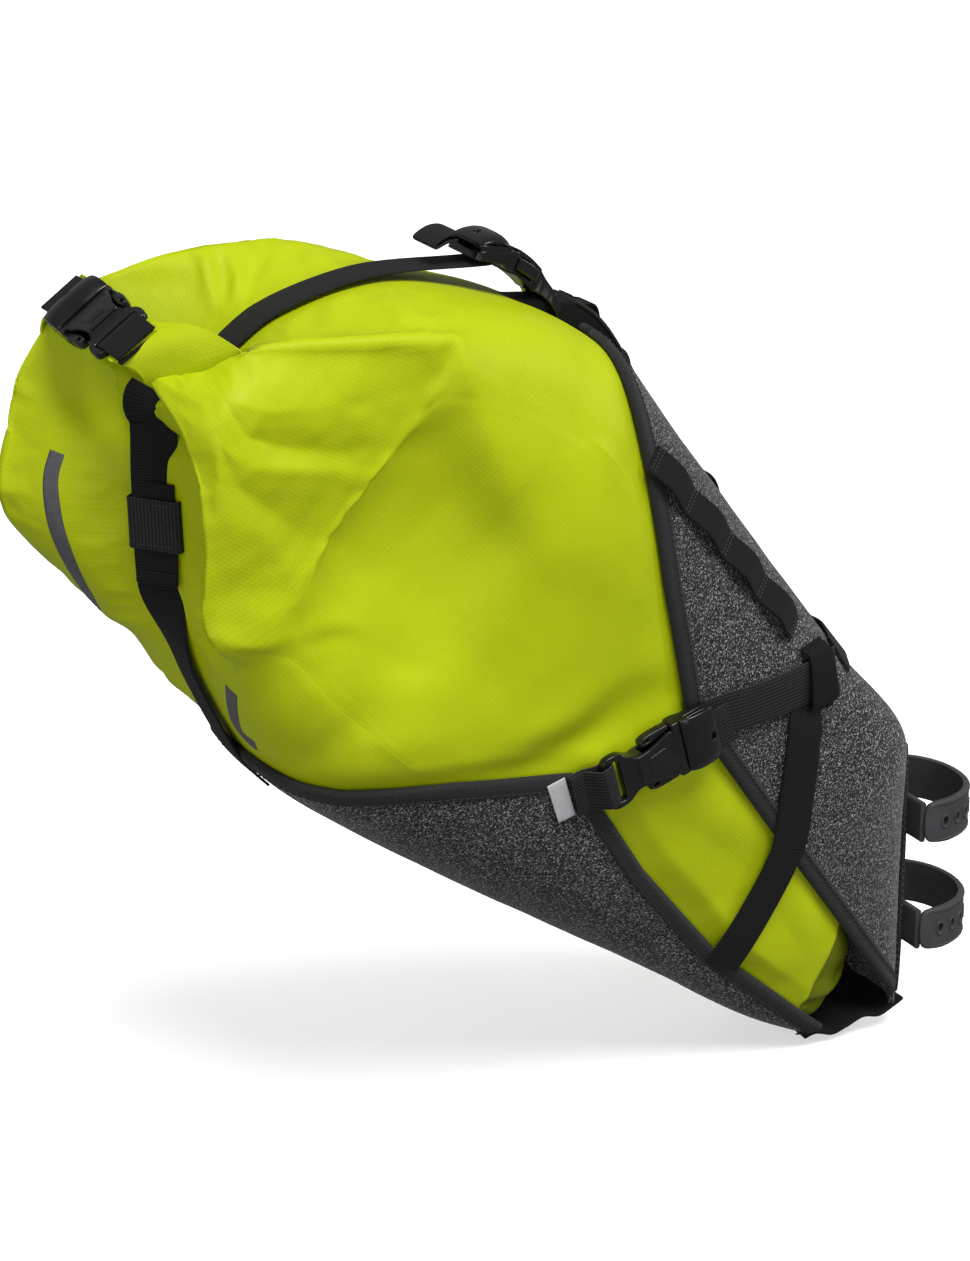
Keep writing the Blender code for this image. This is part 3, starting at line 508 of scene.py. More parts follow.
@lru_cache(maxsize=None)
def squareness(t):
    return SQUARE + (SQUARE_REAR - SQUARE) * smooth(6.4, 9.0, t)


def surf(t, s, off):
    bx, bz, tx, tz, w = station(t)
    lx, lz = tx - bx, tz - bz
    ln = math.hypot(lx, lz)
    ex, ez = lx / ln, lz / ln
    k = 2 / squareness(t)
    a = (ln / 2 + off) * spow(math.cos(s), k)
    y = (w + off) * spow(math.sin(s), k)
    return Vector(((bx + tx) / 2 + ex * a, y, (bz + tz) / 2 + ez * a))


def surf_normal(t, s):
    e = 0.02
    n = (surf(t + e, s, 3) - surf(t - e, s, 3)).cross(surf(t, s + e, 3) - surf(t, s - e, 3))
    if n.dot(surf(t, s, 6) - surf(t, s, 2)) < 0:
        n = -n
    return n.normalized()


_PARAM = [(i * 0.25, -math.pi + k * math.pi / 30) for i in range(4 * T_END + 1) for k in range(60)]
_CLOUD = np.array([tuple(surf(t, s, 3.0)) for t, s in _PARAM])


def closest(p):
    k = int(np.argmin(((_CLOUD - np.array(tuple(p))) ** 2).sum(axis=1)))
    t, s = _PARAM[k]
    dt, ds = 0.2, 0.1
    best = (surf(t, s, 3.0) - p).length_squared
    while dt > 0.002:
        moved = False
        for a, b in ((dt, 0), (-dt, 0), (0, ds), (0, -ds)):
            t2, s2 = min(max(t + a, 0.0), float(T_END)), s + b
            d = (surf(t2, s2, 3.0) - p).length_squared
            if d < best - 1e-9:
                best, t, s, moved = d, t2, s2, True
        if not moved:
            dt *= 0.5
            ds *= 0.5
    return t, s


def on_surface(p, off):
    t, s = closest(Vector(p))
    n = surf_normal(t, s)
    return surf(t, s, 3.0) + n * (off - 3.0), n


def edge_angle(t, poly):
    bx, bz, tx, tz, _w = station(t)
    for (x0, z0), (x1, z1) in zip(poly, poly[1:]):
        rx, rz, qx, qz = tx - bx, tz - bz, x1 - x0, z1 - z0
        den = rx * qz - rz * qx
        if abs(den) < 1e-9:
            continue
        p = ((x0 - bx) * qz - (z0 - bz) * qx) / den
        u = ((x0 - bx) * rz - (z0 - bz) * rx) / den
        if -1e-6 <= u <= 1 + 1e-6 and 0 <= p <= 1:
            return math.acos(max(-1, min(1, spow(2 * p - 1, squareness(t) / 2))))
    return None


def width_angle(t, y):
    return math.asin(min(0.98, (y / station(t)[4])) ** (squareness(t) / 2))


@lru_cache(maxsize=None)
def upper_half(t):
    a = edge_angle(t, UPPER_EDGE)
    low = width_angle(t, 26.0 if t < 3 else 26.0 - (t - 3) * 1.0)
    return max(low, a if a is not None else 0.0)


@lru_cache(maxsize=None)
def lower_half(t):
    a = edge_angle(t, LOWER_EDGE)
    low = width_angle(t, min(24.0, station(t)[4] * 0.8) if t < 6.6 else 24.0 - (t - 6.6) * 14)
    return max(low, (math.pi - a) if a is not None else 0.0)


@lru_cache(maxsize=None)
def eased(f, t, e=0.12):
    """f averaged over a short run of t, so a kink becomes a round corner."""
    return sum(f(min(max(t + k * e, 0.0), 12.0)) * w for k, w in ((-2, 0.1), (-1, 0.2), (0, 0.4), (1, 0.2), (2, 0.1)))


def arc_step(t, s):
    return (surf(t, s + 0.02, 3) - surf(t, s - 0.02, 3)).length / 0.04


# ------------------------------------------------------------- mesh building
def add_object(name, verts, faces, mats, uvs=None, body="holster", nodes=(), slot=None, smooth_shade=True, mat_index=None, ride=True):
    """uvs holds one list of (u, v) in mm for every face."""
    me = bpy.data.meshes.new(name)
    me.from_pydata([tuple(Vector(v) * MM) for v in verts], [], faces)
    for mt in (mats if isinstance(mats, (list, tuple)) else [mats]):
        me.materials.append(mt)
    if uvs is not None:
        layer = me.uv_layers.new(name="mm")
        flat = [c for f in uvs for p in f for c in p]
        layer.uv.foreach_set("vector", np.array(flat, np.float32))
    if mat_index is not None:
        me.polygons.foreach_set("material_index", np.array(mat_index, np.int32))
    me.polygons.foreach_set("use_smooth", np.full(len(me.polygons), smooth_shade))
    bm = bmesh.new()
    bm.from_mesh(me)
    bmesh.ops.remove_doubles(bm, verts=bm.verts, dist=1e-7)
    bmesh.ops.recalc_face_normals(bm, faces=bm.faces)
    bm.to_mesh(me)
    bm.free()
    me.update()
    ob = bpy.data.objects.new(name, me)
    scene.collection.objects.link(ob)
    if nodes:
        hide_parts(*nodes)
    if ride:
        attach(ob, body)
    return ob


def sharpen(ob, degrees=35.0):
    me = ob.data
    me.set_sharp_from_angle(angle=math.radians(degrees))


class Build:
    """Collects grids and loops of points into one mesh."""

    def __init__(self):
        self.v, self.f, self.uv, self.mi = [], [], [], []

    def grid(self, rows, close_u=False, close_v=False, u0=0.0, v0=0.0, uv=None, mi=0, flip=False):
        """rows[i][j]; u runs along j and v along i, measured in mm."""
        nu, nv = len(rows), len(rows[0])
        base = len(self.v)
        for r in rows:
            self.v += [Vector(p) for p in r]
        vs = [v0]
        for i in range(1, nu + (1 if close_v else 0)):
            a, b = rows[i - 1], rows[i % nu]
            vs.append(vs[-1] + sum((Vector(a[j]) - Vector(b[j])).length for j in range(0, nv, max(1, nv // 5))) / len(range(0, nv, max(1, nv // 5))))
        k = nu // 2
        us = [u0]
        for j in range(1, nv + (1 if close_u else 0)):
            us.append(us[-1] + (Vector(rows[k][j - 1]) - Vector(rows[k][j % nv])).length)
        for i in range(nu - (0 if close_v else 1)):
            for j in range(nv - (0 if close_u else 1)):
                i2, j2 = (i + 1) % nu, (j + 1) % nv
                q = [base + i * nv + j, base + i * nv + j2, base + i2 * nv + j2, base + i2 * nv + j]
                if uv is not None:
                    c = [uv(i, j), uv(i, j + 1), uv(i + 1, j + 1), uv(i + 1, j)]
                else:
                    c = [(us[j], vs[i]), (us[j + 1], vs[i]), (us[j + 1], vs[i + 1]), (us[j], vs[i + 1])]
                if flip:
                    q, c = q[::-1], c[::-1]
                self.f.append(q)
                self.uv.append(c)
                self.mi.append(mi)
        return base, nu, nv

    def cap(self, pts_idx, mi=0):
        """Fan over a closed loop of vertex numbers."""
        c = Vector((0, 0, 0))
        for i in pts_idx:
            c += self.v[i]
        self.v.append(c / len(pts_idx))
        ci = len(self.v) - 1
        n = len(pts_idx)
        for j in range(n):
            a, b = pts_idx[j], pts_idx[(j + 1) % n]
            self.f.append([a, b, ci])
            pa, pb, pc = self.v[a], self.v[b], self.v[ci]
            self.uv.append([(0, 0), ((pa - pb).length, 0), (0, (pa - pc).length)])
            self.mi.append(mi)

    def tube(self, rings, mi=0, caps=True, uv=None):
        """Closed body through rings of points."""
        base, nu, nv = self.grid(rings, close_u=True, mi=mi, uv=uv)
        if caps:
            self.cap([base + j for j in range(nv)], mi)
            self.cap([base + (nu - 1) * nv + j for j in range(nv)], mi)
        return base

    def add(self, name, mats, **kw):
        return add_object(name, self.v, self.f, mats, uvs=self.uv, mat_index=self.mi, **kw)


def catmull(pts, n, closed=False):
    """Smooth curve through points, n steps for every span."""
    pts = [Vector(p) for p in pts]
    out = []
    m = len(pts)
    spans = m if closed else m - 1
    for i in range(spans):
        p1, p2 = pts[i], pts[(i + 1) % m]
        p0 = pts[(i - 1) % m] if (closed or i > 0) else p1 * 2 - p2
        p3 = pts[(i + 2) % m] if (closed or i + 2 < m) else p2 * 2 - p1
        d1 = max((p2 - p1).length, 1e-6)
        t1 = (p2 - p0) / max((p2 - p1).length + (p1 - p0).length, 1e-6)
        t2 = (p3 - p1) / max((p3 - p2).length + (p2 - p1).length, 1e-6)
        for k in range(n):
            u = k / n
            h00 = 2 * u ** 3 - 3 * u ** 2 + 1
            h10 = u ** 3 - 2 * u ** 2 + u
            h01 = -2 * u ** 3 + 3 * u ** 2
            h11 = u ** 3 - u ** 2
            out.append(p1 * h00 + t1 * (d1 * h10) + p2 * h01 + t2 * (d1 * h11))
    if not closed:
        out.append(pts[-1].copy())
    return out


def resample(pts, step):
    pts = [Vector(p) for p in pts]
    acc = [0.0]
    for a, b in zip(pts, pts[1:]):
        acc.append(acc[-1] + (b - a).length)
    n = max(2, int(round(acc[-1] / step)) + 1)
    out, k = [], 0
    for i in range(n):
        d = acc[-1] * i / (n - 1)
        while k < len(pts) - 2 and acc[k + 1] < d:
            k += 1
        f = (d - acc[k]) / max(acc[k + 1] - acc[k], 1e-9)
        out.append(pts[k].lerp(pts[k + 1], min(max(f, 0), 1)))
    return out


def strap_rings(path, width, thick, crown=0.0, edge=0.45, twist=None, wfun=None):
    """path = [(point, outer normal)]; returns rings with rounded edges."""
    pts = [Vector(p) for p, _ in path]
    nrm = [Vector(n).normalized() for _, n in path]
    prof = []
    h, w = thick / 2, width / 2
    r = min(h * 0.95, edge + h * 0.5)
    nx = 7
    for i in range(nx):
        prof.append((-w + r + (width - 2 * r) * i / (nx - 1), h))
    for a in (60, 30, 0, -30, -60):
        prof.append((w - r + r * math.cos(math.radians(a)), h * math.sin(math.radians(a))))
    for i in range(nx):
        prof.append((w - r - (width - 2 * r) * i / (nx - 1), -h))
    for a in (-120, -150, 180, 150, 120):
        prof.append((-w + r + r * math.cos(math.radians(a)), h * math.sin(math.radians(a))))
    us = []
    acc = 0.0
    for i in range(len(prof) + 1):
        us.append(prof[i % len(prof)][0])
    rings = []
    for i, p in enumerate(pts):
        a, b = pts[max(i - 1, 0)], pts[min(i + 1, len(pts) - 1)]
        t = (b - a).normalized()
        n = (nrm[i] - t * nrm[i].dot(t)).normalized()
        side = t.cross(n).normalized()
        k = wfun(i / (len(pts) - 1)) if wfun else 1.0
        rings.append([p + side * (x * k) + n * (z + crown * (1 - (x / w) ** 2)) for x, z in prof])
    lens = [0.0]
    for a, b in zip(pts, pts[1:]):
        lens.append(lens[-1] + (b - a).length)

    def uv(i, j):
        return (us[j % len(prof)] + width / 2, lens[min(i, len(lens) - 1)])
    return rings, uv


def strap(name, path, width, thick, mat, nodes=(), body="holster", slot="webbing_black", crown=0.0, wfun=None, ride=True, extra=None):
    rings, uv = strap_rings(path, width, thick, crown, wfun=wfun)
    b = Build()
    b.tube(rings, uv=uv)
    if extra:
        extra(b)
    ob = b.add(name, mat, nodes=nodes, body=body, slot=slot, ride=ride)
    sharpen(ob, 50)
    return ob


def smooth_path(path, n=5, step=None):
    """Dense path of points and normals from a coarse one."""
    ps = catmull([p for p, _ in path], n)
    ns = catmull([Vector(q).normalized() * 10 for _, q in path], n)
    return [(p, q.normalized()) for p, q in zip(ps, ns)]


def stitch_row(b, pts, nrms, length=2.6, gap=1.3, r=0.34, lift=0.1, mi=0):
    """Row of thread stitches lying along a path."""
    pts = [Vector(p) for p in pts]
    acc = [0.0]
    for a, c in zip(pts, pts[1:]):
        acc.append(acc[-1] + (c - a).length)

    def at(d):
        k = 0
        lo, hi = 0, len(acc) - 2
        while lo < hi:
            k = (lo + hi + 1) // 2
            if acc[k] <= d:
                lo = k
            else:
                hi = k - 1
        k = lo
        f = (d - acc[k]) / max(acc[k + 1] - acc[k], 1e-9)
        return pts[k].lerp(pts[k + 1], f), Vector(nrms[k]).lerp(Vector(nrms[k + 1]), f).normalized()
    d = gap
    while d + length < acc[-1]:
        p0, n0 = at(d)
        p1, n1 = at(d + length / 2)
        p2, n2 = at(d + length)
        t = (p2 - p0).normalized()
        side = t.cross(n1).normalized()
        rings = []
        for p, n, k, h in ((p0, n0, 0.35, -0.25), (p0.lerp(p1, 0.4), n0, 0.95, 0.75), (p1, n1, 1.0, 1.0), (p2.lerp(p1, 0.4), n2, 0.95, 0.75), (p2, n2, 0.35, -0.25)):
            c = p + n * (lift + r * h * 0.6)
            rings.append([c + side * (r * k * math.cos(a)) + n * (r * k * math.sin(a)) for a in [i * math.pi / 3 for i in range(6)]])
        b.tube(rings, mi=mi)
        d += length + gap


def plate_mesh(outline, holes, zlo, zhi, bevel=0.5, res=2):
    """Flat moulded plate with round edges from 2-D outlines (mm)."""
    cu = bpy.data.curves.new("tmp_plate", "CURVE")
    cu.dimensions = "2D"
    cu.fill_mode = "BOTH"
    for pts in [outline] + list(holes):
        sp = cu.splines.new("POLY")
        sp.points.add(len(pts) - 1)
        for i, (x, y) in enumerate(pts):
            sp.points[i].co = (x, y, 0, 1)
        sp.use_cyclic_u = True
    half = (zhi - zlo) / 2
    bevel = min(bevel, half * 0.9)
    cu.extrude = half - bevel
    cu.bevel_depth = bevel
    cu.bevel_resolution = res
    cu.offset = -bevel
    ob = bpy.data.objects.new("tmp_plate", cu)
    scene.collection.objects.link(ob)
    dg = bpy.context.evaluated_depsgraph_get()
    me = bpy.data.meshes.new_from_object(ob.evaluated_get(dg))
    bm = bmesh.new()
    bm.from_mesh(me)
    bmesh.ops.remove_doubles(bm, verts=bm.verts, dist=1e-4)
    bmesh.ops.triangulate(bm, faces=[f for f in bm.faces if len(f.verts) > 4])
    vs = [(v.co.x, v.co.y, v.co.z + (zhi + zlo) / 2) for v in bm.verts]
    bm.verts.index_update()
    fs = [[v.index for v in f.verts] for f in bm.faces]
    bm.free()
    bpy.data.objects.remove(ob, do_unlink=True)
    bpy.data.curves.remove(cu)
    bpy.data.meshes.remove(me)
    return vs, fs


def cut_x(vs, fs, xs):
    """Plate faces cut at the given x so that the plate can be bent."""
    bm = bmesh.new()
    bv = [bm.verts.new(v) for v in vs]
    for f in fs:
        try:
            bm.faces.new([bv[i] for i in f])
        except ValueError:
            pass
    for x in xs:
        bmesh.ops.bisect_plane(bm, geom=bm.verts[:] + bm.edges[:] + bm.faces[:], dist=1e-5, plane_co=(x, 0, 0), plane_no=(1, 0, 0))
    bm.verts.index_update()
    out = [tuple(v.co) for v in bm.verts], [[v.index for v in f.verts] for f in bm.faces]
    bm.free()
    return out


def rounded(pts, n=3):
    """Closed outline with its corners cut round (Chaikin)."""
    pts = [tuple(map(float, p)) for p in pts]
    for _ in range(n):
        q = []
        for i in range(len(pts)):
            a, b = pts[i], pts[(i + 1) % len(pts)]
            q.append((a[0] * 0.75 + b[0] * 0.25, a[1] * 0.75 + b[1] * 0.25))
            q.append((a[0] * 0.25 + b[0] * 0.75, a[1] * 0.25 + b[1] * 0.75))
        pts = q
    return pts


def put_plate(b, plate, place, mi=0):
    """Adds a plate to a build; place turns local mm into frame mm."""
    vs, fs = plate
    base = len(b.v)
    b.v += [place(*v) for v in vs]
    for f in fs:
        b.f.append([base + i for i in f])
        b.uv.append([(vs[i][0], vs[i][1]) for i in f])
        b.mi.append(mi)


def make_frame(o, x, zhint):
    o, x, zhint = Vector(o), Vector(x).normalized(), Vector(zhint)
    z = (zhint - x * zhint.dot(x)).normalized()
    y = z.cross(x)
    return lambda a, b, c: o + x * a + y * b + z * c

# -------------------------------------------------------------------- dry bag
def bag_inset(t):
    return interp(t, ((0, 1.3), (7.0, 1.3), (7.7, 1.0), (12, 1.0)))


# places round the bag, row by row: top middle, near top crease, near side,
# near fold, rear middle, far ear, far side and far top ridge
BAG_KEYS = {
    9.0: ((-330, 0, 387), (-330, -16, 387), (-326, -72, 371), (-340, -84, 345), (-370, -89, 305), (-420, -86, 250), (-454, -72, 231), (-443, -62, 221),
          (-441, -16, 216), (-443, 0, 216), (-444, 16, 216), (-461, 48, 212), (-459, 75, 207), (-395, 90, 290), (-335, 62, 391), (-330, 16, 388)),
    10.0: ((-388, 0, 375), (-388, -16, 375), (-372, -69, 374), (-385, -81, 352), (-408, -87, 328), (-438, -86, 300), (-457, -76, 283), (-440, -62, 270),
           (-442, -16, 261), (-448, 0, 260), (-452, 16, 260), (-492, 46, 261), (-507, 75, 266), (-455, 92, 300), (-385, 61, 398), (-388, 16, 377)),
    11.0: ((-420, 0, 352), (-420, -16, 352), (-412, -62, 374), (-425, -73, 360), (-438, -79, 350), (-452, -77, 341), (-462, -66, 332), (-446, -56, 318),
           (-444, -16, 306), (-449, 0, 303), (-452, 16, 304), (-486, 46, 306), (-502, 82, 310), (-470, 93, 330), (-420, 64, 395), (-420, 16, 353)),
    11.5: ((-426, 0, 344), (-426, -16, 344), (-421, -61, 374), (-433, -63, 366), (-444, -64, 360), (-456, -60, 354), (-465, -52, 347), (-449, -45, 333),
           (-443, -16, 315), (-445, 0, 313), (-446, 16, 314), (-465, 50, 326), (-493, 82, 340), (-472, 91, 350), (-446, 68, 389), (-426, 16, 345)),
    12.0: ((-430, 0, 338), (-430, -16, 338), (-428, -60, 373), (-438, -52, 369), (-448, -45, 365), (-458, -38, 362), (-468, -30, 358), (-452, -26, 345),
           (-441, -16, 325), (-440, 0, 322), (-441, 16, 324), (-452, 46, 338), (-476, 76, 366), (-470, 85, 366), (-466, 72, 382), (-430, 16, 338)),
}
SEG = (4, 15, 10, 16, 22, 12, 5, 13, 4, 4, 10, 9, 24, 24, 14, 4)
SHARP = {2: (8.8, 9.8, 1.0), 6: (8.6, 9.6, 0.95), 12: (9.6, 10.6, 0.9), 14: (9.4, 10.6, 0.5)}


@lru_cache(maxsize=None)
def key_angles(t):
    n = squareness(t) / 2

    def yq(f):
        return math.asin(f ** n)

    def zq(q):
        return math.acos(q ** n)
    w16 = width_angle(t, 16.0)
    a = [0.0, w16, yq(0.93), zq(0.62), math.pi / 2, math.pi - zq(0.62), math.pi - yq(0.93), math.pi - yq(0.80), math.pi - w16,
         math.pi, math.pi + w16, math.pi + yq(0.6), math.pi + yq(0.93), 1.5 * math.pi, 2 * math.pi - yq(0.85), 2 * math.pi - w16]
    return [-x for x in a]


def base_point(t, s):
    """Bag under and between the shells; it swells a little in the openings."""
    a = abs(math.atan2(math.sin(s), math.cos(s)))
    st = max(arc_step(t, s), 4.0)
    if t < 7.3:
        du = (a - eased(upper_half, round(t, 2))) * st
        dl = ((math.pi - eased(lower_half, round(t, 2))) - a) * st
        d = min(du, dl)
        swell = 3.4 * smooth(0.9, 2.2, t)
        off = -1.3 + (1.3 + swell) * smooth(3.0, 34.0, d)
        off = lerp(off, -1.0, smooth(6.6, 7.3, t))
    else:
        off = -1.0
    return surf(t, s, off)


KEY8 = [tuple(base_point(8.0, s)) for s in key_angles(8.0)]
KEY8[11], KEY8[12] = (-429, 50, 173), (-424, 75, 180)
_KT = [8.0] + sorted(BAG_KEYS)
_KP = [KEY8] + [BAG_KEYS[t] for t in sorted(BAG_KEYS)]


def keys_at(t):
    out = []
    i = 0
    while i < len(_KT) - 2 and t > _KT[i + 1]:
        i += 1
    t0, t1 = _KT[i], _KT[i + 1]
    u = (t - t0) / (t1 - t0)
    for k in range(16):
        p0, p1 = Vector(_KP[i][k]), Vector(_KP[i + 1][k])
        if i > 0:
            m0 = (p1 - Vector(_KP[i - 1][k])) / (t1 - _KT[i - 1]) * (t1 - t0)
        else:
            b = 0.25
            m0 = (base_point(8.0, key_angles(8.0)[k]) - base_point(8.0 - b, key_angles(8.0 - b)[k])) / b * (t1 - t0)
            m0 = m0 * 0.6 + (p1 - p0) * 0.4
        if i + 2 < len(_KT):
            m1 = (Vector(_KP[i + 2][k]) - p0) / (_KT[i + 2] - t0) * (t1 - t0)
        else:
            m1 = p1 - p0
        out.append(p0 * (2 * u ** 3 - 3 * u ** 2 + 1) + m0 * (u ** 3 - 2 * u ** 2 + u) + p1 * (-2 * u ** 3 + 3 * u ** 2) + m1 * (u ** 3 - u ** 2))
    return out


def ring_from_keys(t):
    ks = keys_at(t)
    n = 16
    out = []
    tin, tout = [], []
    for k in range(n):
        a, p, b = ks[k - 1], ks[k], ks[(k + 1) % n]
        la, lb = max((p - a).length, 1e-6), max((b - p).length, 1e-6)
        soft = ((p - a) / la * lb + (b - p) / lb * la) / (la + lb)
        w = 0.0
        if k in SHARP:
            t0, t1, m = SHARP[k]
            w = smooth(t0, t1, t) * m
        tin.append(soft.lerp((p - a) / la, w))
        tout.append(soft.lerp((b - p) / lb, w))
    for k in range(n):
        p, q = ks[k], ks[(k + 1) % n]
        ln = (q - p).length
        for j in range(SEG[k]):
            u = j / SEG[k]
            out.append(p * (2 * u ** 3 - 3 * u ** 2 + 1) + tout[k] * (ln * (u ** 3 - 2 * u ** 2 + u))
                       + q * (-2 * u ** 3 + 3 * u ** 2) + tin[(k + 1) % n] * (ln * (u ** 3 - u ** 2)))
    return out


T_NOSE, T_SKEW = 0.95, 5.0
NOSE_P, NOSE_N = Vector((-66.0, 0.0, -42.0)), Vector((0.916, 0.0, -0.402))


@lru_cache(maxsize=None)
def nose_t(s):
    """Where a line along the bag meets the slanted plane of its front end."""
    lo, hi = 0.15, 4.2
    for _ in range(24):
        m = (lo + hi) / 2
        if (surf(m, s, 0) - NOSE_P).dot(NOSE_N) > 0:
            lo = m
        else:
            hi = m
    return (lo + hi) / 2


def skewed(t, s):
    if t >= T_SKEW:
        return t
    tn = nose_t(round(s, 4))
    return round(tn + (t - T_NOSE) * (T_SKEW - tn) / (T_SKEW - T_NOSE), 3)


def ring_from_base(t):
    ks = key_angles(t) + [-2 * math.pi]
    out = []
    w8 = smooth(7.1, 8.0, t)
    far = Vector(KEY8[12]) - base_point(8.0, key_angles(8.0)[12])
    for k in range(16):
        for j in range(SEG[k]):
            f = j / SEG[k]
            sa = lerp(ks[k], ks[k + 1], f)
            p = base_point(skewed(t, sa), sa)
            c = {10: f * 0.35, 11: 0.35 + 0.65 * smooth(0, 1, f), 12: 1 - smooth(0, 0.75, f)}.get(k, 0.0)
            out.append(p + far * (c * w8))
    return out


def bag_row(t):
    if t <= 8.0:
        return ring_from_base(t)
    r = ring_from_keys(t)
    if t >= 8.9:
        return r
    f = smooth(8.0, 8.9, t)
    return [a.lerp(b, f) for a, b in zip(ring_from_base(t), r)]


bag_ts = [round(t, 4) for t in frange(T_NOSE, 12.0, 220)]
bag_rows = [bag_row(t) for t in bag_ts]
NCOL = len(bag_rows[0])
KCOL = [sum(SEG[:k]) for k in range(17)]

# end of the bag towards the nose: a pleated, nearly flat cap
c0 = Vector((0, 0, 0))
for p in bag_rows[0]:
    c0 += p
c0 = c0 / NCOL
nose_dir = NOSE_N
cap_rows = []
for k, h in ((0.03, 30.0), (0.15, 30.2), (0.28, 29.8), (0.40, 29.0), (0.52, 27.6), (0.63, 25.6), (0.72, 23.0), (0.79, 20.0), (0.85, 16.5), (0.895, 12.5), (0.93, 8.5), (0.96, 4.8), (0.985, 1.8)):
    row = []
    for j, p in enumerate(bag_rows[0]):
        a = 2 * math.pi * j / NCOL
        e = (k * (1 - k) * 4) ** 0.7
        pl = (math.sin(a * 9 + 0.9 * math.sin(a * 4) + 2.4 * k) * 3.0 + math.sin(a * 17 + 1.3 + 5 * k) * 1.2) * e
        rad = k * (1 + (0.055 * math.sin(a * 7 + 8 * k) + 0.04 * math.sin(a * 13 + 2.0 - 6 * k)) * e)
        q = c0 + (p - c0) * rad
        low = 1.0 - 0.85 * smooth(c0.z - 18.0, c0.z + 14.0, q.z)
        reach = max(0.0, (-24.0 - q.x) / nose_dir.x)
        row.append(q + nose_dir * min((h + pl) * low, reach))
    cap_rows.append(row)
# towards the roll the mouth runs together on a line
mouth_b, mouth_t = Vector((STATIONS[-1][0], 0, STATIONS[-1][1])), Vector((STATIONS[-1][2], 0, STATIONS[-1][3]))
mouth_e = (mouth_t - mouth_b).normalized()
mouth_out = Vector((-mouth_e.z, 0, mouth_e.x))
ROLL_C = mouth_b.lerp(mouth_t, 0.5) + mouth_out * (ROLL_R + 1.6)
end_rows = []
for f in (0.18, 0.42, 0.7, 0.95):
    row = []
    for p in bag_rows[-1]:
        y = min(max(p.y, -34.0), 70.0)
        if y < -20:
            line = Vector((-449, y, 350)).lerp(ROLL_C + Vector((0, y, 0)), 0.3)
        elif y > 40:
            g = (y - 40) / 30
            line = (ROLL_C + Vector((0, y, 0))).lerp(Vector((-462, 70, 366)), g)
        else:
            line = ROLL_C + Vector((0, y, 0))
        row.append(p.lerp(line, f) + mouth_out * (-2.0 * math.sin(math.pi * f)))
    end_rows.append(row)

bag_all = cap_rows + bag_rows + end_rows
R0 = len(cap_rows)
P = np.array([[tuple(p) for p in r] for r in bag_all])


def grid_normals(P):
    du = np.roll(P, -1, 1) - np.roll(P, 1, 1)
    dv = np.empty_like(P)
    dv[1:-1] = P[2:] - P[:-2]
    dv[0] = P[1] - P[0]
    dv[-1] = P[-1] - P[-2]
    n = np.cross(dv, du)
    ln = np.linalg.norm(n, axis=2, keepdims=True)
    n = n / np.maximum(ln, 1e-9)
    k = len(P) // 2
    c = P[k].mean(axis=0)
    if ((P[k] - c) * n[k]).sum() < 0:
        n = -n
    return n


def grid_bvh(P):
    nu, nv = P.shape[:2]
    verts = [Vector(p) * MM for p in P.reshape(-1, 3)]
    faces = [(i * nv + j, i * nv + (j + 1) % nv, (i + 1) * nv + (j + 1) % nv, (i + 1) * nv + j) for i in range(nu - 1) for j in range(nv)]
    return BVHTree.FromPolygons(verts, faces)


BAG_TREE = grid_bvh(P)


def on_photo(px, py, tree=None):
    hit = (tree or BAG_TREE).ray_cast(CAM_P, pixel_ray(px, py))
    return None if hit[0] is None else np.array(tuple(hit[0])) / MM


def line_points(pix, tree=None):
    pts = catmull([Vector((x, y, 0)) for x, y in pix], 6)
    out = [on_photo(p.x, p.y, tree) for p in pts]
    return [p for p in out if p is not None]


def fold(P, N, pts, width, height, mode="bump", ends=0.6, skew=0.0):
    """Pushes the skin along a line; bump = round ridge or valley, step =
    raised on one side only."""
    pts = np.array(pts)
    if len(pts) < 2:
        return P
    flat = P.reshape(-1, 3)
    seg = pts[1:] - pts[:-1]
    ln = np.linalg.norm(seg, axis=1)
    acc = np.concatenate([[0], np.cumsum(ln)])
    lo, hi = pts.min(axis=0) - 3.2 * width, pts.max(axis=0) + 3.2 * width
    pick = np.where(((flat > lo) & (flat < hi)).all(axis=1))[0]
    if not len(pick):
        return P
    q = flat[pick]
    best = np.full(len(q), 1e9)
    along = np.zeros(len(q))
    for k in range(len(seg)):
        if ln[k] < 1e-6:
            continue
        f = np.clip(((q - pts[k]) @ seg[k]) / ln[k] ** 2, 0, 1)
        d = np.linalg.norm(q - (pts[k] + f[:, None] * seg[k]), axis=1)
        m_ = d < best
        best[m_] = d[m_]
        along[m_] = (acc[k] + f * ln[k])[m_]
    u = along / acc[-1]
    taper = np.clip(np.sin(np.pi * np.clip(u, 0.02, 0.98)), 0, 1) ** ends
    if mode == "sharp":
        g = np.exp(-best / width)
    else:
        g = np.exp(-(best / width) ** 2)
    out = flat.copy()
    out[pick] += N.reshape(-1, 3)[pick] * (height * taper * g)[:, None]
    return out.reshape(P.shape)


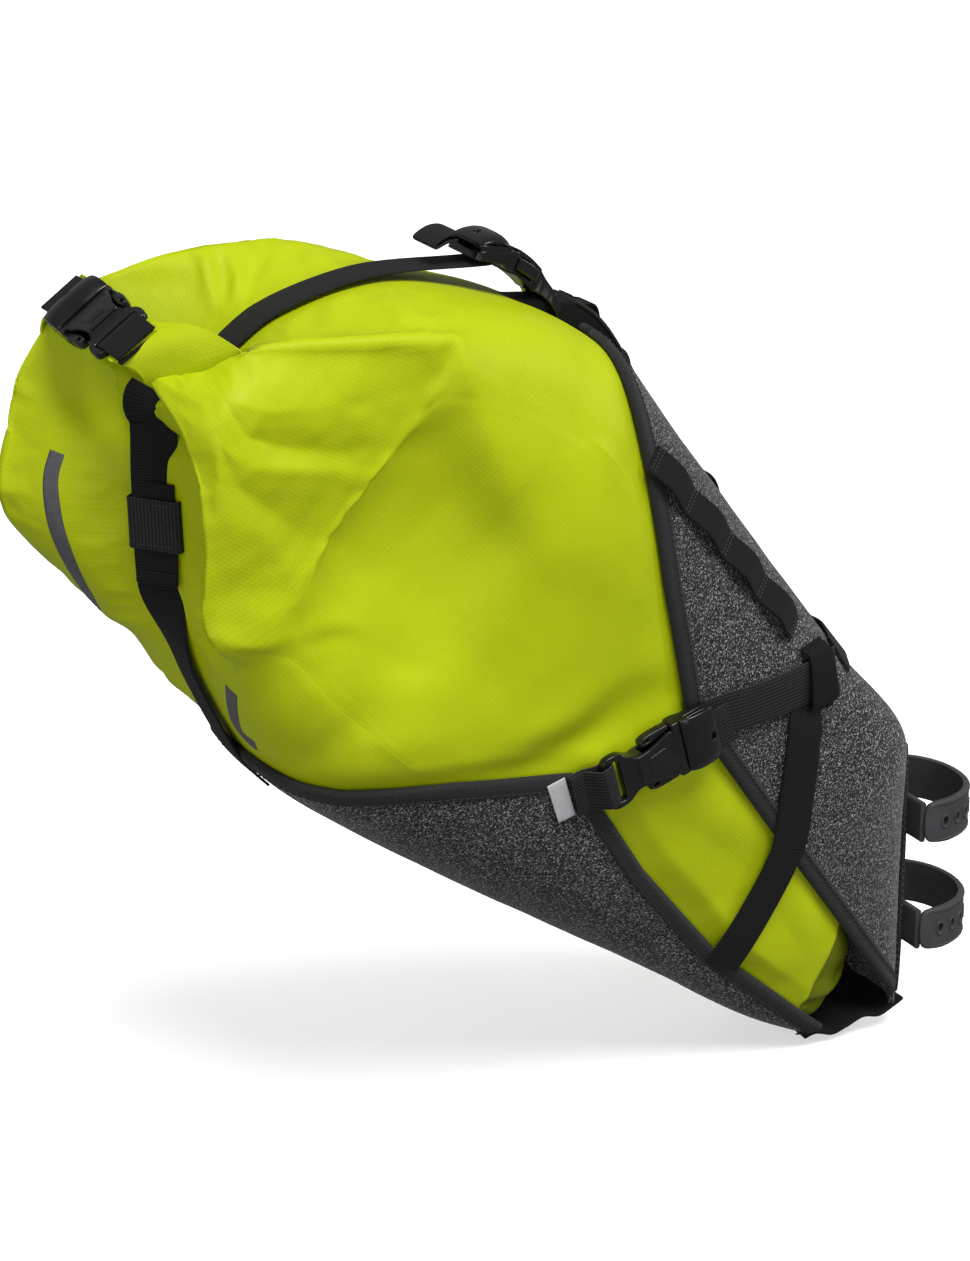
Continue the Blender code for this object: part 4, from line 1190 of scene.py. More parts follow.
MAJOR_FOLDS = (
    (((226, 398), (262, 412), (303, 416), (350, 410), (392, 401)), 10, 6.0, "sharp"),
    (((236, 430), (290, 428), (345, 434), (400, 440), (462, 442)), 11, -8.5, "bump"),
    (((286, 462), (320, 468), (365, 468), (425, 464)), 9, 6.0, "sharp"),
    (((228, 484), (262, 490), (300, 508), (350, 532), (420, 560)), 13, -9.0, "bump"),
    (((216, 520), (248, 536), (285, 558), (335, 580), (395, 592)), 9, 5.5, "sharp"),
    (((212, 600), (250, 606), (290, 606), (345, 602), (403, 600)), 12, -5.0, "bump"),
    (((456, 352), (474, 400), (492, 462), (508, 497), (540, 540), (600, 590)), 15, 7.0, "sharp"),
    (((446, 356), (458, 400), (474, 455), (492, 500)), 12, -7.5, "bump"),
)
NEAR_FOLDS = (
    (((306, 652), (330, 645), (352, 643), (372, 650)), 3.4, -2.4, "bump"),
    (((306, 645), (330, 637), (352, 635), (376, 640)), 4.5, 2.2, "bump"),
    (((390, 662), (415, 668), (440, 670)), 4.5, -2.0, "bump"),
    (((515, 772), (570, 750), (620, 718), (676, 700)), 12, -8.0, "bump"),
    (((500, 742), (560, 726), (610, 700), (650, 684)), 9, 3.0, "bump"),
    (((556, 346), (578, 392), (600, 440), (618, 480)), 7, 2.6, "sharp"),
    (((232, 358), (300, 352), (370, 347), (452, 345)), 3.5, 3.0, "sharp"),
    (((207, 634), (228, 646), (262, 650), (300, 640)), 6, 2.6, "sharp"),
    (((200, 640), (222, 662), (250, 676)), 5, -3.0, "bump"),
)
# flat facets between ridges and hollows of the near side: image place and height
FACET_LINES = (
    ((238, 356, 1.0), (300, 351, 2.5), (370, 347, 3.5), (452, 345, 5.0)),
    ((452, 345, 5.0), (470, 400, 3.5), (484, 450, 4.2), (500, 500, 4.6), (528, 552, 4.4), (560, 600, 2.6)),
    ((556, 420, 1.5), (572, 480, 4.0), (592, 540, 4.6), (606, 590, 3.0)),
    ((443, 376, -2.5), (440, 404, -5.5), (446, 450, -10.0), (462, 500, -11.0), (482, 546, -8.0), (505, 585, -4.0)),
    ((226, 404, 1.0), (262, 413, 2.0), (300, 412, 0.0), (345, 407, -3.0), (392, 399, -5.5)),
    ((250, 440, -1.5), (290, 450, -6.0), (345, 458, -9.0), (402, 456, -10.0)),
    ((256, 470, -1.0), (319, 475, -5.5), (352, 479, -8.5), (388, 482, -10.5)),
    ((240, 492, -3.0), (268, 512, -6.5), (310, 545, -11.5), (352, 558, -14.0), (405, 568, -15.0), (446, 572, -13.0)),
    ((232, 520, -1.5), (262, 545, -4.0), (290, 570, -8.5), (335, 588, -12.0)),
    ((230, 596, -3.0), (290, 604, -8.0), (350, 612, -10.5), (412, 612, -11.0), (462, 606, -8.0)),
    ((300, 645, -5.0), (352, 648, -6.5), (412, 652, -7.5), (472, 648, -5.0)),
    ((320, 695, -2.0), (400, 698, -3.0), (470, 690, -2.0)),
)
FACET_RIM = ((205, 360), (212, 400), (222, 450), (218, 500), (212, 550), (207, 600), (205, 640), (250, 720), (330, 748), (420, 742), (520, 722), (620, 680),
             (664, 610), (650, 520), (626, 440), (596, 372), (556, 338), (510, 322), (455, 328), (380, 333), (300, 342), (236, 348))


def facets(P, N):
    """Outward height of every point of the skin, flat between the lines."""
    verts, edges = [], []
    index = {}

    def add(x, y, h):
        k = (x, y)
        if k not in index:
            index[k] = len(verts)
            verts.append((x, y, h))
        return index[k]
    for line in FACET_LINES:
        ids = [add(*q) for q in line]
        edges.extend(zip(ids, ids[1:]))
    rim = [add(x, y, 0.0) for x, y in FACET_RIM]
    edges.extend(zip(rim, rim[1:] + rim[:1]))
    vo, _eo, fo, vi, _ei, _fi = delaunay_2d_cdt([Vector((x, y)) for x, y, _h in verts], [tuple(e) for e in edges], [], 0, 1e-4)
    hs = [verts[o[0]][2] if o else 0.0 for o in vi]
    rel = P * MM - np.array(tuple(CAM_P))
    depth = rel @ np.array(tuple(CAM_D))
    px = IMG_W / 2 + F_PX * (rel @ np.array(tuple(CAM_R))) / depth
    py = IMG_H / 2 - F_PX * (rel @ np.array(tuple(CAM_U))) / depth
    facing = (N @ np.array(tuple(-CAM_D))) > 0.0
    near = facing & (P[:, :, 1] < -12.0)
    H = np.zeros(P.shape[:2])
    for f in fo:
        (x0, y0), (x1, y1), (x2, y2) = [tuple(vo[k]) for k in f[:3]]
        den = (y1 - y2) * (x0 - x2) + (x2 - x1) * (y0 - y2)
        if abs(den) < 1e-9:
            continue
        a = ((y1 - y2) * (px - x2) + (x2 - x1) * (py - y2)) / den
        b = ((y2 - y0) * (px - x2) + (x0 - x2) * (py - y2)) / den
        c = 1 - a - b
        m_ = near & (a >= 0) & (b >= 0) & (c >= 0)
        H[m_] = (a * hs[f[0]] + b * hs[f[1]] + c * hs[f[2]])[m_]
    return H


TOP_FOLDS = (
    (((205, 248), (206, 275), (209, 302)), 5.0, 3.0, "bump"),
    (((219, 250), (220, 275), (222, 298)), 5.0, -3.0, "bump"),
    (((236, 262), (238, 280), (232, 300)), 4.0, 1.8, "bump"),
    (((262, 256), (252, 275), (246, 296)), 4.0, -1.8, "bump"),
)
folds3 = [(line_points(a), w, h, md) for a, w, h, md in NEAR_FOLDS + TOP_FOLDS]
N0 = grid_normals(P)
P1 = P.copy()
for pts, w, h, md in folds3:
    P1 = P1 + (fold(P, N0, pts, w, h, md) - P)
H0 = facets(P, N0)
for _ in range(2):
    H0 = (H0 * 4 + np.roll(H0, 1, 1) + np.roll(H0, -1, 1) + np.vstack([H0[:1], H0[:-1]]) + np.vstack([H0[1:], H0[-1:]])) / 8
P1 = P1 + N0 * (1.3 * H0)[:, :, None]
for pts, w, h, md in [(line_points(a), w, h, md) for a, w, h, md in MAJOR_FOLDS + NEAR_FOLDS[:6]]:
    far = [np.array((p[0] + 9.0 * math.sin(p[2] * 0.05), -p[1] + 2.0, p[2] - 10.0)) for p in pts]
    tree_pts = []
    for p in far:
        hit = BAG_TREE.find_nearest(Vector(p) * MM)
        if hit[0] is not None:
            tree_pts.append(np.array(tuple(hit[0])) / MM)
    P1 = P1 + (fold(P, N0, tree_pts, w, h, md) - P)
# small random unevenness of the cloth, none under the shells
tcol = np.array([0.0] * R0 + [1.0] * len(bag_rows) + [0.0] * len(end_rows))
free = np.zeros(P.shape[:2])
for i, t in enumerate(bag_ts):
    ks = key_angles(t) + [-2 * math.pi]
    c = 0
    for k in range(16):
        for j in range(SEG[k]):
            s = lerp(ks[k], ks[k + 1], j / SEG[k])
            a = abs(math.atan2(math.sin(s), math.cos(s)))
            if t < 8.0:
                tt = skewed(min(t, 6.99), s)
                st = max(arc_step(tt, s), 4.0)
                d = min((a - upper_half(round(tt, 2))) * st, ((math.pi - lower_half(round(tt, 2))) - a) * st)
                f = max(smooth(2.0, 20.0, d), smooth(7.0, 8.0, t))
            else:
                f = 1.0
            free[R0 + i, c] = f
            c += 1
under = np.exp(-(np.abs(P[:, :, 1]) / 17.0) ** 6)      # strip below the strap
STRIPE_PIX = (((231, 690), (232, 706), (236, 724), (245, 737), (256, 746)), ((57, 452), (51, 474), (51, 497), (57, 530), (72, 567), (95, 605)))
near_stripe = np.zeros(P.shape[:2])
for pix in STRIPE_PIX:
    for q in line_points(pix):
        near_stripe = np.maximum(near_stripe, np.exp(-(np.linalg.norm(P - q, axis=2) / 11.0) ** 4))
for i in range(P.shape[0]):
    for j in range(P.shape[1]):
        if free[i, j] > 0.01:
            v = Vector(P[i, j])
            a = mnoise.noise(v * 0.021) * 1.5 + mnoise.noise(v * 0.055 + Vector((9, 3, 1))) * 0.7 + mnoise.noise(v * 0.12 + Vector((1, 7, 4))) * 0.25
            P1[i, j] = P[i, j] + ((P1[i, j] - P[i, j]) + N0[i, j] * a * (1 - 0.8 * under[i, j])) * free[i, j] * (1 - near_stripe[i, j])
        else:
            P1[i, j] = P[i, j]



def relax(P, hold, cap):
    """Cloth pass over the skin: a slightly oversize sheet blown from inside,
    held where it is clamped, so that it settles into small folds."""
    nu, nv = P.shape[:2]
    me = bpy.data.meshes.new("settle")
    quads = [(i * nv + j, i * nv + (j + 1) % nv, (i + 1) * nv + (j + 1) % nv, (i + 1) * nv + j) for i in range(nu - 1) for j in range(nv)]
    me.from_pydata([tuple(v) for v in P.reshape(-1, 3) * MM], [], quads)
    ob = bpy.data.objects.new("settle", me)
    scene.collection.objects.link(ob)
    vg = ob.vertex_groups.new(name="hold")
    flat = hold.reshape(-1)
    for level in range(0, 11):
        w = level / 10.0
        pick = np.where(np.abs(np.round(flat * 10) / 10 - w) < 1e-6)[0]
        if len(pick) and w > 0:
            vg.add([int(k) for k in pick], w, "REPLACE")
    cl = ob.modifiers.new("settle", "CLOTH")
    st = cl.settings
    st.quality = 4
    st.mass = 0.15
    st.tension_stiffness = 18.0
    st.compression_stiffness = 18.0
    st.shear_stiffness = 6.0
    st.bending_stiffness = 0.35
    st.air_damping = 4.0
    st.use_pressure = True
    st.uniform_pressure_force = 4.0
    st.shrink_min = -0.012
    st.effector_weights.gravity = 0.0
    st.vertex_group_mass = "hold"
    st.pin_stiffness = 6.0
    cl.collision_settings.use_collision = False
    cl.collision_settings.use_self_collision = False
    cl.point_cache.frame_start = 1
    cl.point_cache.frame_end = 20
    was = scene.frame_current
    for f in range(1, 21):
        scene.frame_set(f)
    ev = ob.evaluated_get(bpy.context.evaluated_depsgraph_get())
    out = np.empty(len(flat) * 3, np.float32)
    ev.data.vertices.foreach_get("co", out)
    bpy.data.objects.remove(ob, do_unlink=True)
    bpy.data.meshes.remove(me)
    scene.frame_set(was)
    D = out.reshape(P.shape).astype(float) / MM - P
    ln = np.linalg.norm(D, axis=2, keepdims=True)
    return D * (cap * np.tanh(ln / cap) / np.maximum(ln, 1e-9))


early = np.array([0.10] * R0 + [0.10 + 0.90 * smooth(7.4, 9.2, t) for t in bag_ts] + [1.0] * len(end_rows))
loose = free * (1.0 - under) * (1.0 - 0.97 * near_stripe) * early[:, None]
a0, a1 = R0, R0 + len(bag_rows)
settle = relax(P1[a0:a1], np.clip(1.0 - loose[a0:a1], 0, 1), 2.4)
P1[a0:a1] = P1[a0:a1] + settle * loose[a0:a1][:, :, None]
print("settled", round(float(np.abs(settle).mean()), 3), round(float(np.abs(settle).max()), 3))

calm = np.array([0.0] * R0 + [1.0 - smooth(8.2, 9.0, t) for t in bag_ts] + [0.0] * len(end_rows))[:, None, None]
for _ in range(5):
    D = P1 - P
    E = (D * 2 + np.roll(D, 1, 1) + np.roll(D, -1, 1) + np.concatenate([D[:1], D[:-1]]) + np.concatenate([D[1:], D[-1:]])) / 6
    P1 = P + D + (E - D) * calm * (0.3 + 0.7 * free[:, :, None])

bag = Build()
ulen = []
for r in P1:
    seg = np.linalg.norm(np.roll(r, -1, 0) - r, axis=1)
    acc = np.concatenate([[0], np.cumsum(seg)])
    ulen.append(acc)
kc = KCOL[4]
vlen = np.concatenate([[0], np.cumsum(np.linalg.norm(P1[1:, kc] - P1[:-1, kc], axis=1))])


def bag_uv(i, j):
    jj = j
    u = ulen[i][jj] - ulen[i][kc]
    return (u, vlen[i])


base_i = bag.tube([[Vector(p) for p in r] for r in P1], uv=bag_uv)
# the nose-end cap rows and their centre fan take the darkened lime: painted shade of the recess under the shells
for k in range((R0 - 1) * NCOL):
    bag.mi[k] = 1
for k in range(len(bag.mi) - 2 * NCOL, len(bag.mi) - NCOL):
    bag.mi[k] = 1
bag_ob = bag.add("drybag_skin", [LIME, LIME_SHADED], nodes=("drybag_body",), slot="ripstop_lime")

# ----------------------------------------------------------------- the shells
def shell(name, node, t_end, half, centre, rows=84, cols=53):
    ts = frange(0.0, t_end, rows)
    out, inn = [], []
    for t in ts:
        h = half(t)
        ro, ri = [], []
        for k in frange(-1, 1, cols):
            s = centre + h * k
            p = surf(t, s, SHELL_T)
            n = surf_normal(max(t, 0.05), s) if abs(k) < 0.999 else None
            w = mnoise.noise(p * 0.016) * 0.8 + mnoise.noise(p * 0.04 + Vector((3, 1, 8))) * 0.35
            edge = smooth(1.0, 0.86, abs(k))
            back = smooth(1.5, 5.0, abs(p.x) + 0.0)      # the seatpost face stays flat
            if n is not None:
                p = p + n * (w * edge * back * 0.9)
            ro.append(p)
            ri.append(surf(t, s, 0.05))
        out.append(ro)
        inn.append(ri)
    b = Build()
    uvs = []
    mid = cols // 2
    v = 0.0
    for i, r in enumerate(out):
        if i:
            v += sum((out[i][j] - out[i - 1][j]).length for j in (2, cols // 4, mid, cols - 3)) / 4
        acc = [0.0]
        for a, c in zip(r, r[1:]):
            acc.append(acc[-1] + (c - a).length)
        uvs.append([(a - acc[mid], v) for a in acc])
    b.grid(out, uv=lambda i, j: uvs[i][j])
    b.grid(inn, uv=lambda i, j: uvs[i][j], flip=True)
    for j in (0, cols - 1):
        b.grid([[r[j] for r in out], [r[j] for r in inn]])
    for i in (0, rows - 1):
        b.grid([out[i], inn[i]])
    ob = b.add(name, MELANGE, nodes=(node,), slot="melange_grey")
    sharpen(ob, 40)
    return ob


shell("upper_panel", "upper_shell", T_TIP_UP, upper_half, 0.0)
shell("lower_panel", "lower_shell", T_TIP_LOW, lower_half, math.pi)

TAPE_SECTION = ((-4.2, 3.05), (-4.2, 3.6), (-3.0, 4.05), (1.0, 4.25), (3.6, 4.2), (5.1, 3.7), (5.9, 2.6), (6.1, 1.6), (5.9, 0.5), (5.1, -0.4),
                (3.6, -0.8), (1.0, -0.9), (-1.2, -0.9), (-1.2, -0.15), (0.25, 0.0), (0.25, 3.0))


def edge_tape(name, nodes, side_path):
    """Folded tape round an edge; side_path = [(edge point, outward, normal)]."""
    rings = []
    lens = [0.0]
    for i, (p, o, n) in enumerate(side_path):
        if i:
            lens.append(lens[-1] + (p - side_path[i - 1][0]).length)
        rings.append([p + o * a + n * h for a, h in TAPE_SECTION])
    acc = [0.0]
    for (a0, h0), (a1, h1) in zip(TAPE_SECTION, TAPE_SECTION[1:] + TAPE_SECTION[:1]):
        acc.append(acc[-1] + math.hypot(a1 - a0, h1 - h0))
    b = Build()
    b.tube(rings, uv=lambda i, j: (acc[j], lens[min(i, len(lens) - 1)]))
    stitch_row(b, [p + o * -2.4 + n * 4.1 for p, o, n in side_path], [n for _p, _o, n in side_path], mi=1)
    return b.add(name, [TAPE, THREAD], nodes=nodes, slot="webbing_black")


def edge_path(t0, t1, half, centre, side, n=120):
    out = []
    for t in frange(t0, t1, n):
        h = half(t)
        s = centre + side * h
        e = 0.01
        p = surf(t, s, 0.0)
        tang = (surf(min(t + 0.03, 12), centre + side * half(t + 0.03), 3) - surf(max(t - 0.03, 0), centre + side * half(max(t - 0.03, 0)), 3)).normalized()
        nn = surf_normal(max(t, 0.05), s)
        o = tang.cross(nn).normalized()
        around = surf(t, s + side * e, 3) - surf(t, s, 3)
        if o.dot(around) < 0:
            o = -o
        out.append((p, o, nn))
    # soften the frame along the edge
    k = len(out)
    res = []
    for i in range(k):
        o, nn = Vector((0, 0, 0)), Vector((0, 0, 0))
        for j in range(max(0, i - 3), min(k, i + 4)):
            o += out[j][1]
            nn += out[j][2]
        nn.normalize()
        o = (o - nn * o.dot(nn)).normalized()
        res.append((out[i][0], o, nn))
    return res


def tip_path(t, half, centre, n=31):
    out = []
    for k in frange(-1, 1, n):
        sa = centre + half(t) * k
        nn = surf_normal(t, sa)
        ds = surf(t, sa + 0.02, 3) - surf(t, sa - 0.02, 3)
        o = nn.cross(ds).normalized()
        if o.dot(surf(t + 0.05, sa, 3) - surf(t, sa, 3)) < 0:
            o = -o
        out.append((surf(t, sa, 0.0), o, nn))
    return out


edge_tape("upper_tape_tip", (), tip_path(T_TIP_UP - 0.03, upper_half, 0.0))
edge_tape("lower_tape_tip", (), tip_path(T_TIP_LOW - 0.03, lower_half, math.pi))
for sfx, sd in (("r", -1), ("l", 1)):
    edge_tape("upper_tape_" + sfx, ("upper_binding_" + sfx,), edge_path(0.2, T_TIP_UP, upper_half, 0.0, sd))
    edge_tape("lower_tape_" + sfx, ("lower_binding_" + sfx,), edge_path(0.2, T_TIP_LOW, lower_half, math.pi, -sd))

# ---------------------------------------------------------------- buckles
PLATE_TOP = ((0.3, 14.3), (3, 13.9), (6, 13.2), (12, 11.2), (18, 9.7), (23, 9.7))
PRONG_IN = ((0.4, 14.5), (4, 13.3), (8, 12.6), (12, 12.2), (16, 11.8), (19.5, 12.6))
PRONG_OUT = ((0.4, 17.3), (4, 17.4), (8, 17.5), (12, 17.5), (16, 17.2), (19.5, 15.6))
WEB_W, WEB_T_MM, CROSS_W, DAISY_W = 25.0, 1.5, 20.0, 19.0


def both(half):
    return list(half) + [(x, -y) for x, y in reversed(half)]


def socket_piece(name, node, fr):
    b = Build()
    outline = rounded(both([(0.3, 14.0), (0.9, 14.5), (3, 14.0), (6, 13.2), (12, 11.2), (18, 9.8), (23.5, 9.8), (24, 9.2)]), 2)
    for sgn in (1, -1):
        pl = cut_x(*plate_mesh(outline, [], -1.0, 1.0, 0.45), (6, 12, 18))
        z = [(x, y, sgn * (4.1 + 0.25 * math.cos(y / 14.0 * 1.3)) + zz * 1.1) for x, y, zz in pl[0]]
        put_plate(b, (z, pl[1]), fr)
        lip = plate_mesh(rounded(both([(0.1, 13.6), (0.6, 14.4), (2.2, 14.2), (2.6, 13.4)]), 2), [], -0.6, 0.6, 0.4)
        put_plate(b, ([(x, y, sgn * 4.95 + zz) for x, y, zz in lip[0]], lip[1]), fr)
    # neck and ring
    ring = rounded(both([(19, 9.2), (20, 9.8), (23, 9.8), (26, 10.8), (29, 13.2), (32, 15.8), (36, 16.8), (40, 16.8), (43, 15.6), (44.2, 13)]), 2)
    slot = rounded(both([(33.8, 12.4), (34.6, 13.2), (39.2, 13.2), (40.0, 12.4)]), 2)
    pl = cut_x(*plate_mesh(ring, [slot], -1.0, 1.0, 0.42), (21, 23, 25, 27, 29, 31, 33, 36, 40.5, 42))
    zf = ((19, 5.1), (21, 5.1), (24, 4.6), (28, 3.4), (33, 2.7), (38, 2.3), (44, 1.9))
    put_plate(b, ([(x, y, zz * interp(x, zf)) for x, y, zz in pl[0]], pl[1]), fr)
    # raised field in the middle of the top plate
    field = plate_mesh(rounded(both([(5.5, 6.5), (6.2, 7.2), (17.4, 5.6), (18, 5.0)]), 2), [], -0.45, 0.45, 0.3)
    put_plate(b, ([(x, y, 5.35 + zz) for x, y, zz in field[0]], field[1]), fr)
    ob = b.add(name, ACETAL, nodes=(node,), slot="acetal_black")
    sharpen(ob, 40)
    return ob


def plug_piece(name, node, fr, body):
    b = Build()
    outline = rounded(both([(-27.2, 13.0), (-26.6, 15.6), (-23.5, 17.3), (-2, 17.5), (-0.2, 17.0), (0.1, 15.4)]), 2)
    holes = [rounded(both([(x0, 12.4), (x0 + 0.8, 13.2), (x1 - 0.8, 13.2), (x1, 12.4)]), 2) for x0, x1 in ((-23, -16.5), (-12.5, -6.5))]
    pl = cut_x(*plate_mesh(outline, holes, -1.0, 1.0, 0.4), (-25, -20, -14.5, -9.5, -6.2, -4, -1.5))
    zf = ((-27, 1.7), (-23, 2.3), (-16, 2.5), (-8, 2.6), (-6, 4.1), (-3, 4.5), (0, 4.4))
    put_plate(b, ([(x, y, zz * interp(x, zf)) for x, y, zz in pl[0]], pl[1]), fr)
    # guide tongue between the prongs
    tongue = plate_mesh(rounded(both([(-1, 7.0), (13, 6.8), (16.5, 5.4), (18, 3.6)]), 2), [rounded(both([(3, 3.6), (11, 3.4)]), 2)], -2.3, 2.3, 0.6)
    put_plate(b, tongue, fr)
    # arched cover over the strap bars
    cover = rounded(both([(-27.6, 12.0), (-27.2, 14.6), (-25.6, 16.6), (-9, 17.3), (-6.2, 17.0), (-5.6, 15.6)]), 2)
    hole = rounded([(-23.6, -2.6), (-23.6, 2.6), (-20.6, 2.2), (-20.6, -2.2)], 2)
    pl = cut_x(*plate_mesh(cover, [hole], -0.75, 0.75, 0.5), (-26.5, -25, -23.5, -22, -20, -18, -16, -14, -12, -10.5, -9, -7.5))
    bm_pts = []
    for x, y, zz in pl[0]:
        arch = interp(x, ((-28, 4.6), (-26.5, 5.8), (-24, 7.3), (-21, 8.4), (-17.5, 9.0), (-14, 9.0), (-11, 8.3), (-9, 7.3), (-7.5, 6.2), (-6, 4.9), (-5, 4.2)))
        bm_pts.append((x, y, arch * (1 - 0.30 * (abs(y) / 17.3) ** 4) + zz))
    put_plate(b, (bm_pts, pl[1]), fr)
    # side walls below the cover
    for sgn in (1, -1):
        wall = cut_x(*plate_mesh(rounded([(-26, 14.6), (-25.4, 17.0), (-6, 17.3), (-6, 14.8)], 2), [], -1.0, 1.0, 0.4), (-22, -18, -14, -10))
        put_plate(b, ([(x, sgn * y, 2.6 + zz * 2.4) for x, y, zz in wall[0]], wall[1]), fr)
    ob = b.add(name, ACETAL, nodes=(node,), body=body, slot="acetal_black")
    sharpen(ob, 40)
    return ob


def prong_piece(name, node, fr, sd, body):
    b = Build()
    out = [(x, interp(x, PRONG_OUT)) for x in (0.4, 2, 4, 6, 8, 10, 12, 14, 16, 18, 19.3)]
    inn = [(x, interp(x, PRONG_IN)) for x in (19.3, 18, 16, 14, 12, 10, 8, 6, 4, 2, 0.4)]
    pl = plate_mesh(rounded(out + inn, 1), [rounded([(12.6, 14.0), (13.4, 15.6), (17.2, 15.2), (17.4, 13.9), (14, 13.4)], 2)], -2.6, 2.6, 0.7)
    put_plate(b, ([(x, sd * y, z) for x, y, z in pl[0]], pl[1]), fr)
    for x in (5.5, 7.3, 9.1, 10.9):
        rib = plate_mesh(rounded([(x - 0.5, 16.9), (x - 0.45, 17.8), (x + 0.45, 17.8), (x + 0.5, 16.9)], 1), [], -2.2, 2.2, 0.3)
        put_plate(b, ([(a, sd * c, z) for a, c, z in rib[0]], rib[1]), fr)
    ob = b.add(name, ACETAL_M, nodes=(node,), body=body, slot="acetal_black")
    sharpen(ob, 40)
    return ob


def buckle(prefix, sfx, fr):
    socket_piece(prefix + "_female" + sfx, prefix + "_socket" + sfx, fr)
    plug_piece(prefix + "_male" + sfx, prefix + "_plug" + sfx, fr, prefix + "_plug" + sfx)
    for tag, sd in (("a", 1), ("b", -1)):
        node = prefix + "_prong" + sfx + "_" + tag
        prong_piece(prefix + "_catch" + sfx + "_" + tag, node, fr, sd, node)


def path_normals(pts, w, hint):
    out = []
    for i in range(len(pts)):
        d = pts[min(i + 1, len(pts) - 1)] - pts[max(i - 1, 0)]
        out.append(w.cross(d).normalized())
    return out


def bar_loop(name, node, fr, ends, mat=None):
    low = [(x, zl) for x, zl, zh in reversed(ends)]
    high = [(x, zh) for x, zl, zh in ends]
    turn = [(45.4, -3.9), (42.0, -3.7), (38.6, -2.5), (37.3, 0.0), (38.6, 2.5), (42.0, 3.7), (45.4, 3.9)]
    pts = catmull([fr(x, 0, z) for x, z in low + turn + high], 6)
    w = fr(0, 1, 0) - fr(0, 0, 0)
    nr = path_normals(pts, w, None)
    k = len(pts) // 2
    if nr[k].dot(fr(-1, 0, 0) - fr(0, 0, 0)) < 0:
        nr = [-n for n in nr]
    return strap(name, list(zip(pts, nr)), WEB_W, WEB_T_MM, mat or WEB_X, nodes=(node,))


LADDER = ((-30, -5.0), (-14.5, -4.4), (-10.6, -2.8), (-9.4, 0.0), (-10.6, 2.8), (-14.5, 4.4), (-30, 5.4))


def ladder_path(fr, approach, tail, n=6, ladder=LADDER):
    w = fr(0, 1, 0) - fr(0, 0, 0)
    zn = fr(0, 0, 1) - fr(0, 0, 0)
    pts = [p for p, _n in approach] + [fr(x, 0, z) for x, z in list(ladder) + list(tail)]
    dense = catmull(pts, n)
    nr = path_normals(dense, w, None)
    first = approach[0][1]
    sign = 1.0 if nr[0].dot(first) > 0 else -1.0
    return [(p, q * sign) for p, q in zip(dense, nr)]


ROLL_SEAM = Vector((-472, 30, 377))
ROLL_X = Vector((0, -1, 0))
ROLL_Y = Vector((0.809, 0, 0.588))
ROLL_Z = ROLL_X.cross(ROLL_Y)
roll_frame = make_frame(ROLL_SEAM, ROLL_X, ROLL_Z)
roll_local = roll_frame
buckle("roll", "", roll_frame)
o_r = roll_frame(0, 0, 0)
ax_r = [(roll_frame(*q) - o_r).normalized() for q in ((1, 0, 0), (0, 1, 0), (0, 0, 1))]
for v in bag_ob.data.vertices:
    d = v.co / MM - o_r
    x, y, z = (d.dot(a) for a in ax_r)
    if -75 < x < 12 and abs(y) < 36 and -8 < z < 26:
        out = math.hypot(max(-58.0 - x, x + 2.0, 0.0), max(abs(y) - 18.2, 0.0))
        top = -6.0 + 1.1 * out
        if z > top:
            v.co = v.co + ax_r[2] * ((top - z) * MM)
bar_loop("roll_web_r", "roll_tab_r", roll_frame, [(50, -3.2, 3.0), (56, -2.4, 1.9), (62, -1.9, 1.0)])
rt = strap("roll_web_l", ladder_path(roll_frame, [(roll_frame(-39.5, 0, -4.3), ROLL_Z)], [(-38, 5.0)]), WEB_W, WEB_T_MM, WEB_X, nodes=("roll_tab_l",), ride=False)
roll_frame(-70, 0, 0) * MM
roll_frame(-38, 0, 0) * MM
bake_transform(rt)

TOP_SEAM = Vector((-256, 0, 389))
TOP_X = Vector((0.9, 0, -0.436)).normalized()
TOP_Z = Vector((0.436, 0, 0.9)).normalized()
top_frame = make_frame(TOP_SEAM, TOP_X, TOP_Z)


TOP_Z_SCALE = 1.2


def top_sag(x):
    """How far the curved top buckle lies off its straight axis."""
    return 1.6 - 0.0088 * min(x, 0.0) ** 2 - 0.0120 * max(x, 0.0) ** 2


def top_bent(x, y, z):
    x = x * 0.86
    return top_frame(x, y * 1.04, z * TOP_Z_SCALE + top_sag(x))


buckle("top", "", top_bent)
tab_rows = []
for t in (6.95, 6.75, 6.5, 6.2):
    d = surf(t, 0, 5.6) - TOP_SEAM
    x, z = d.dot(TOP_X), d.dot(TOP_Z)
    z = (z - top_sag(x)) / TOP_Z_SCALE
    x = x / 0.86
    tab_rows.append((x, z - 0.9, z + 1.1))
bar_loop("top_web_tab", "top_tab", top_bent, tab_rows)


# --------------------------------------------------------- rear and top strap
def mid(t, s, off):
    return surf(t, s, off), (surf(t, s, off + 2) - surf(t, s, off)).normalized()


def roll_point(ang, r, y):
    return ROLL_C + mouth_e * (r * math.cos(ang)) + mouth_out * (r * math.sin(ang)) + Vector((0, y, 0))


rear = [mid(t, math.pi, o) for t, o in ((6.85, 3.9), (7.05, 4.0), (7.3, 4.4), (7.6, 3.6), (8.0, 3.2), (8.5, 3.2), (9.0, 3.4), (9.6, 5.0))]
rear.append(mid(11.0, math.pi, 5.2))
for ang in (172, 140, 110, 80):
    p = roll_point(math.radians(ang), ROLL_R + 2.6, 0)
    rear.append((p, (p - ROLL_C).normalized()))
KEEP_A, KEEP_B = rear[7][0], rear[8][0]
TILT = math.radians(38.0)


def tilted(path):
    """The strap is turned a little towards the right between its ends."""
    out = []
    for p, n in path:
        a = TILT * smooth(195, 250, p.z) * smooth(356, 340, p.z)
        out.append((p, (n * math.cos(a) + Vector((0, -1, 0)) * math.sin(a)).normalized()))
    return out


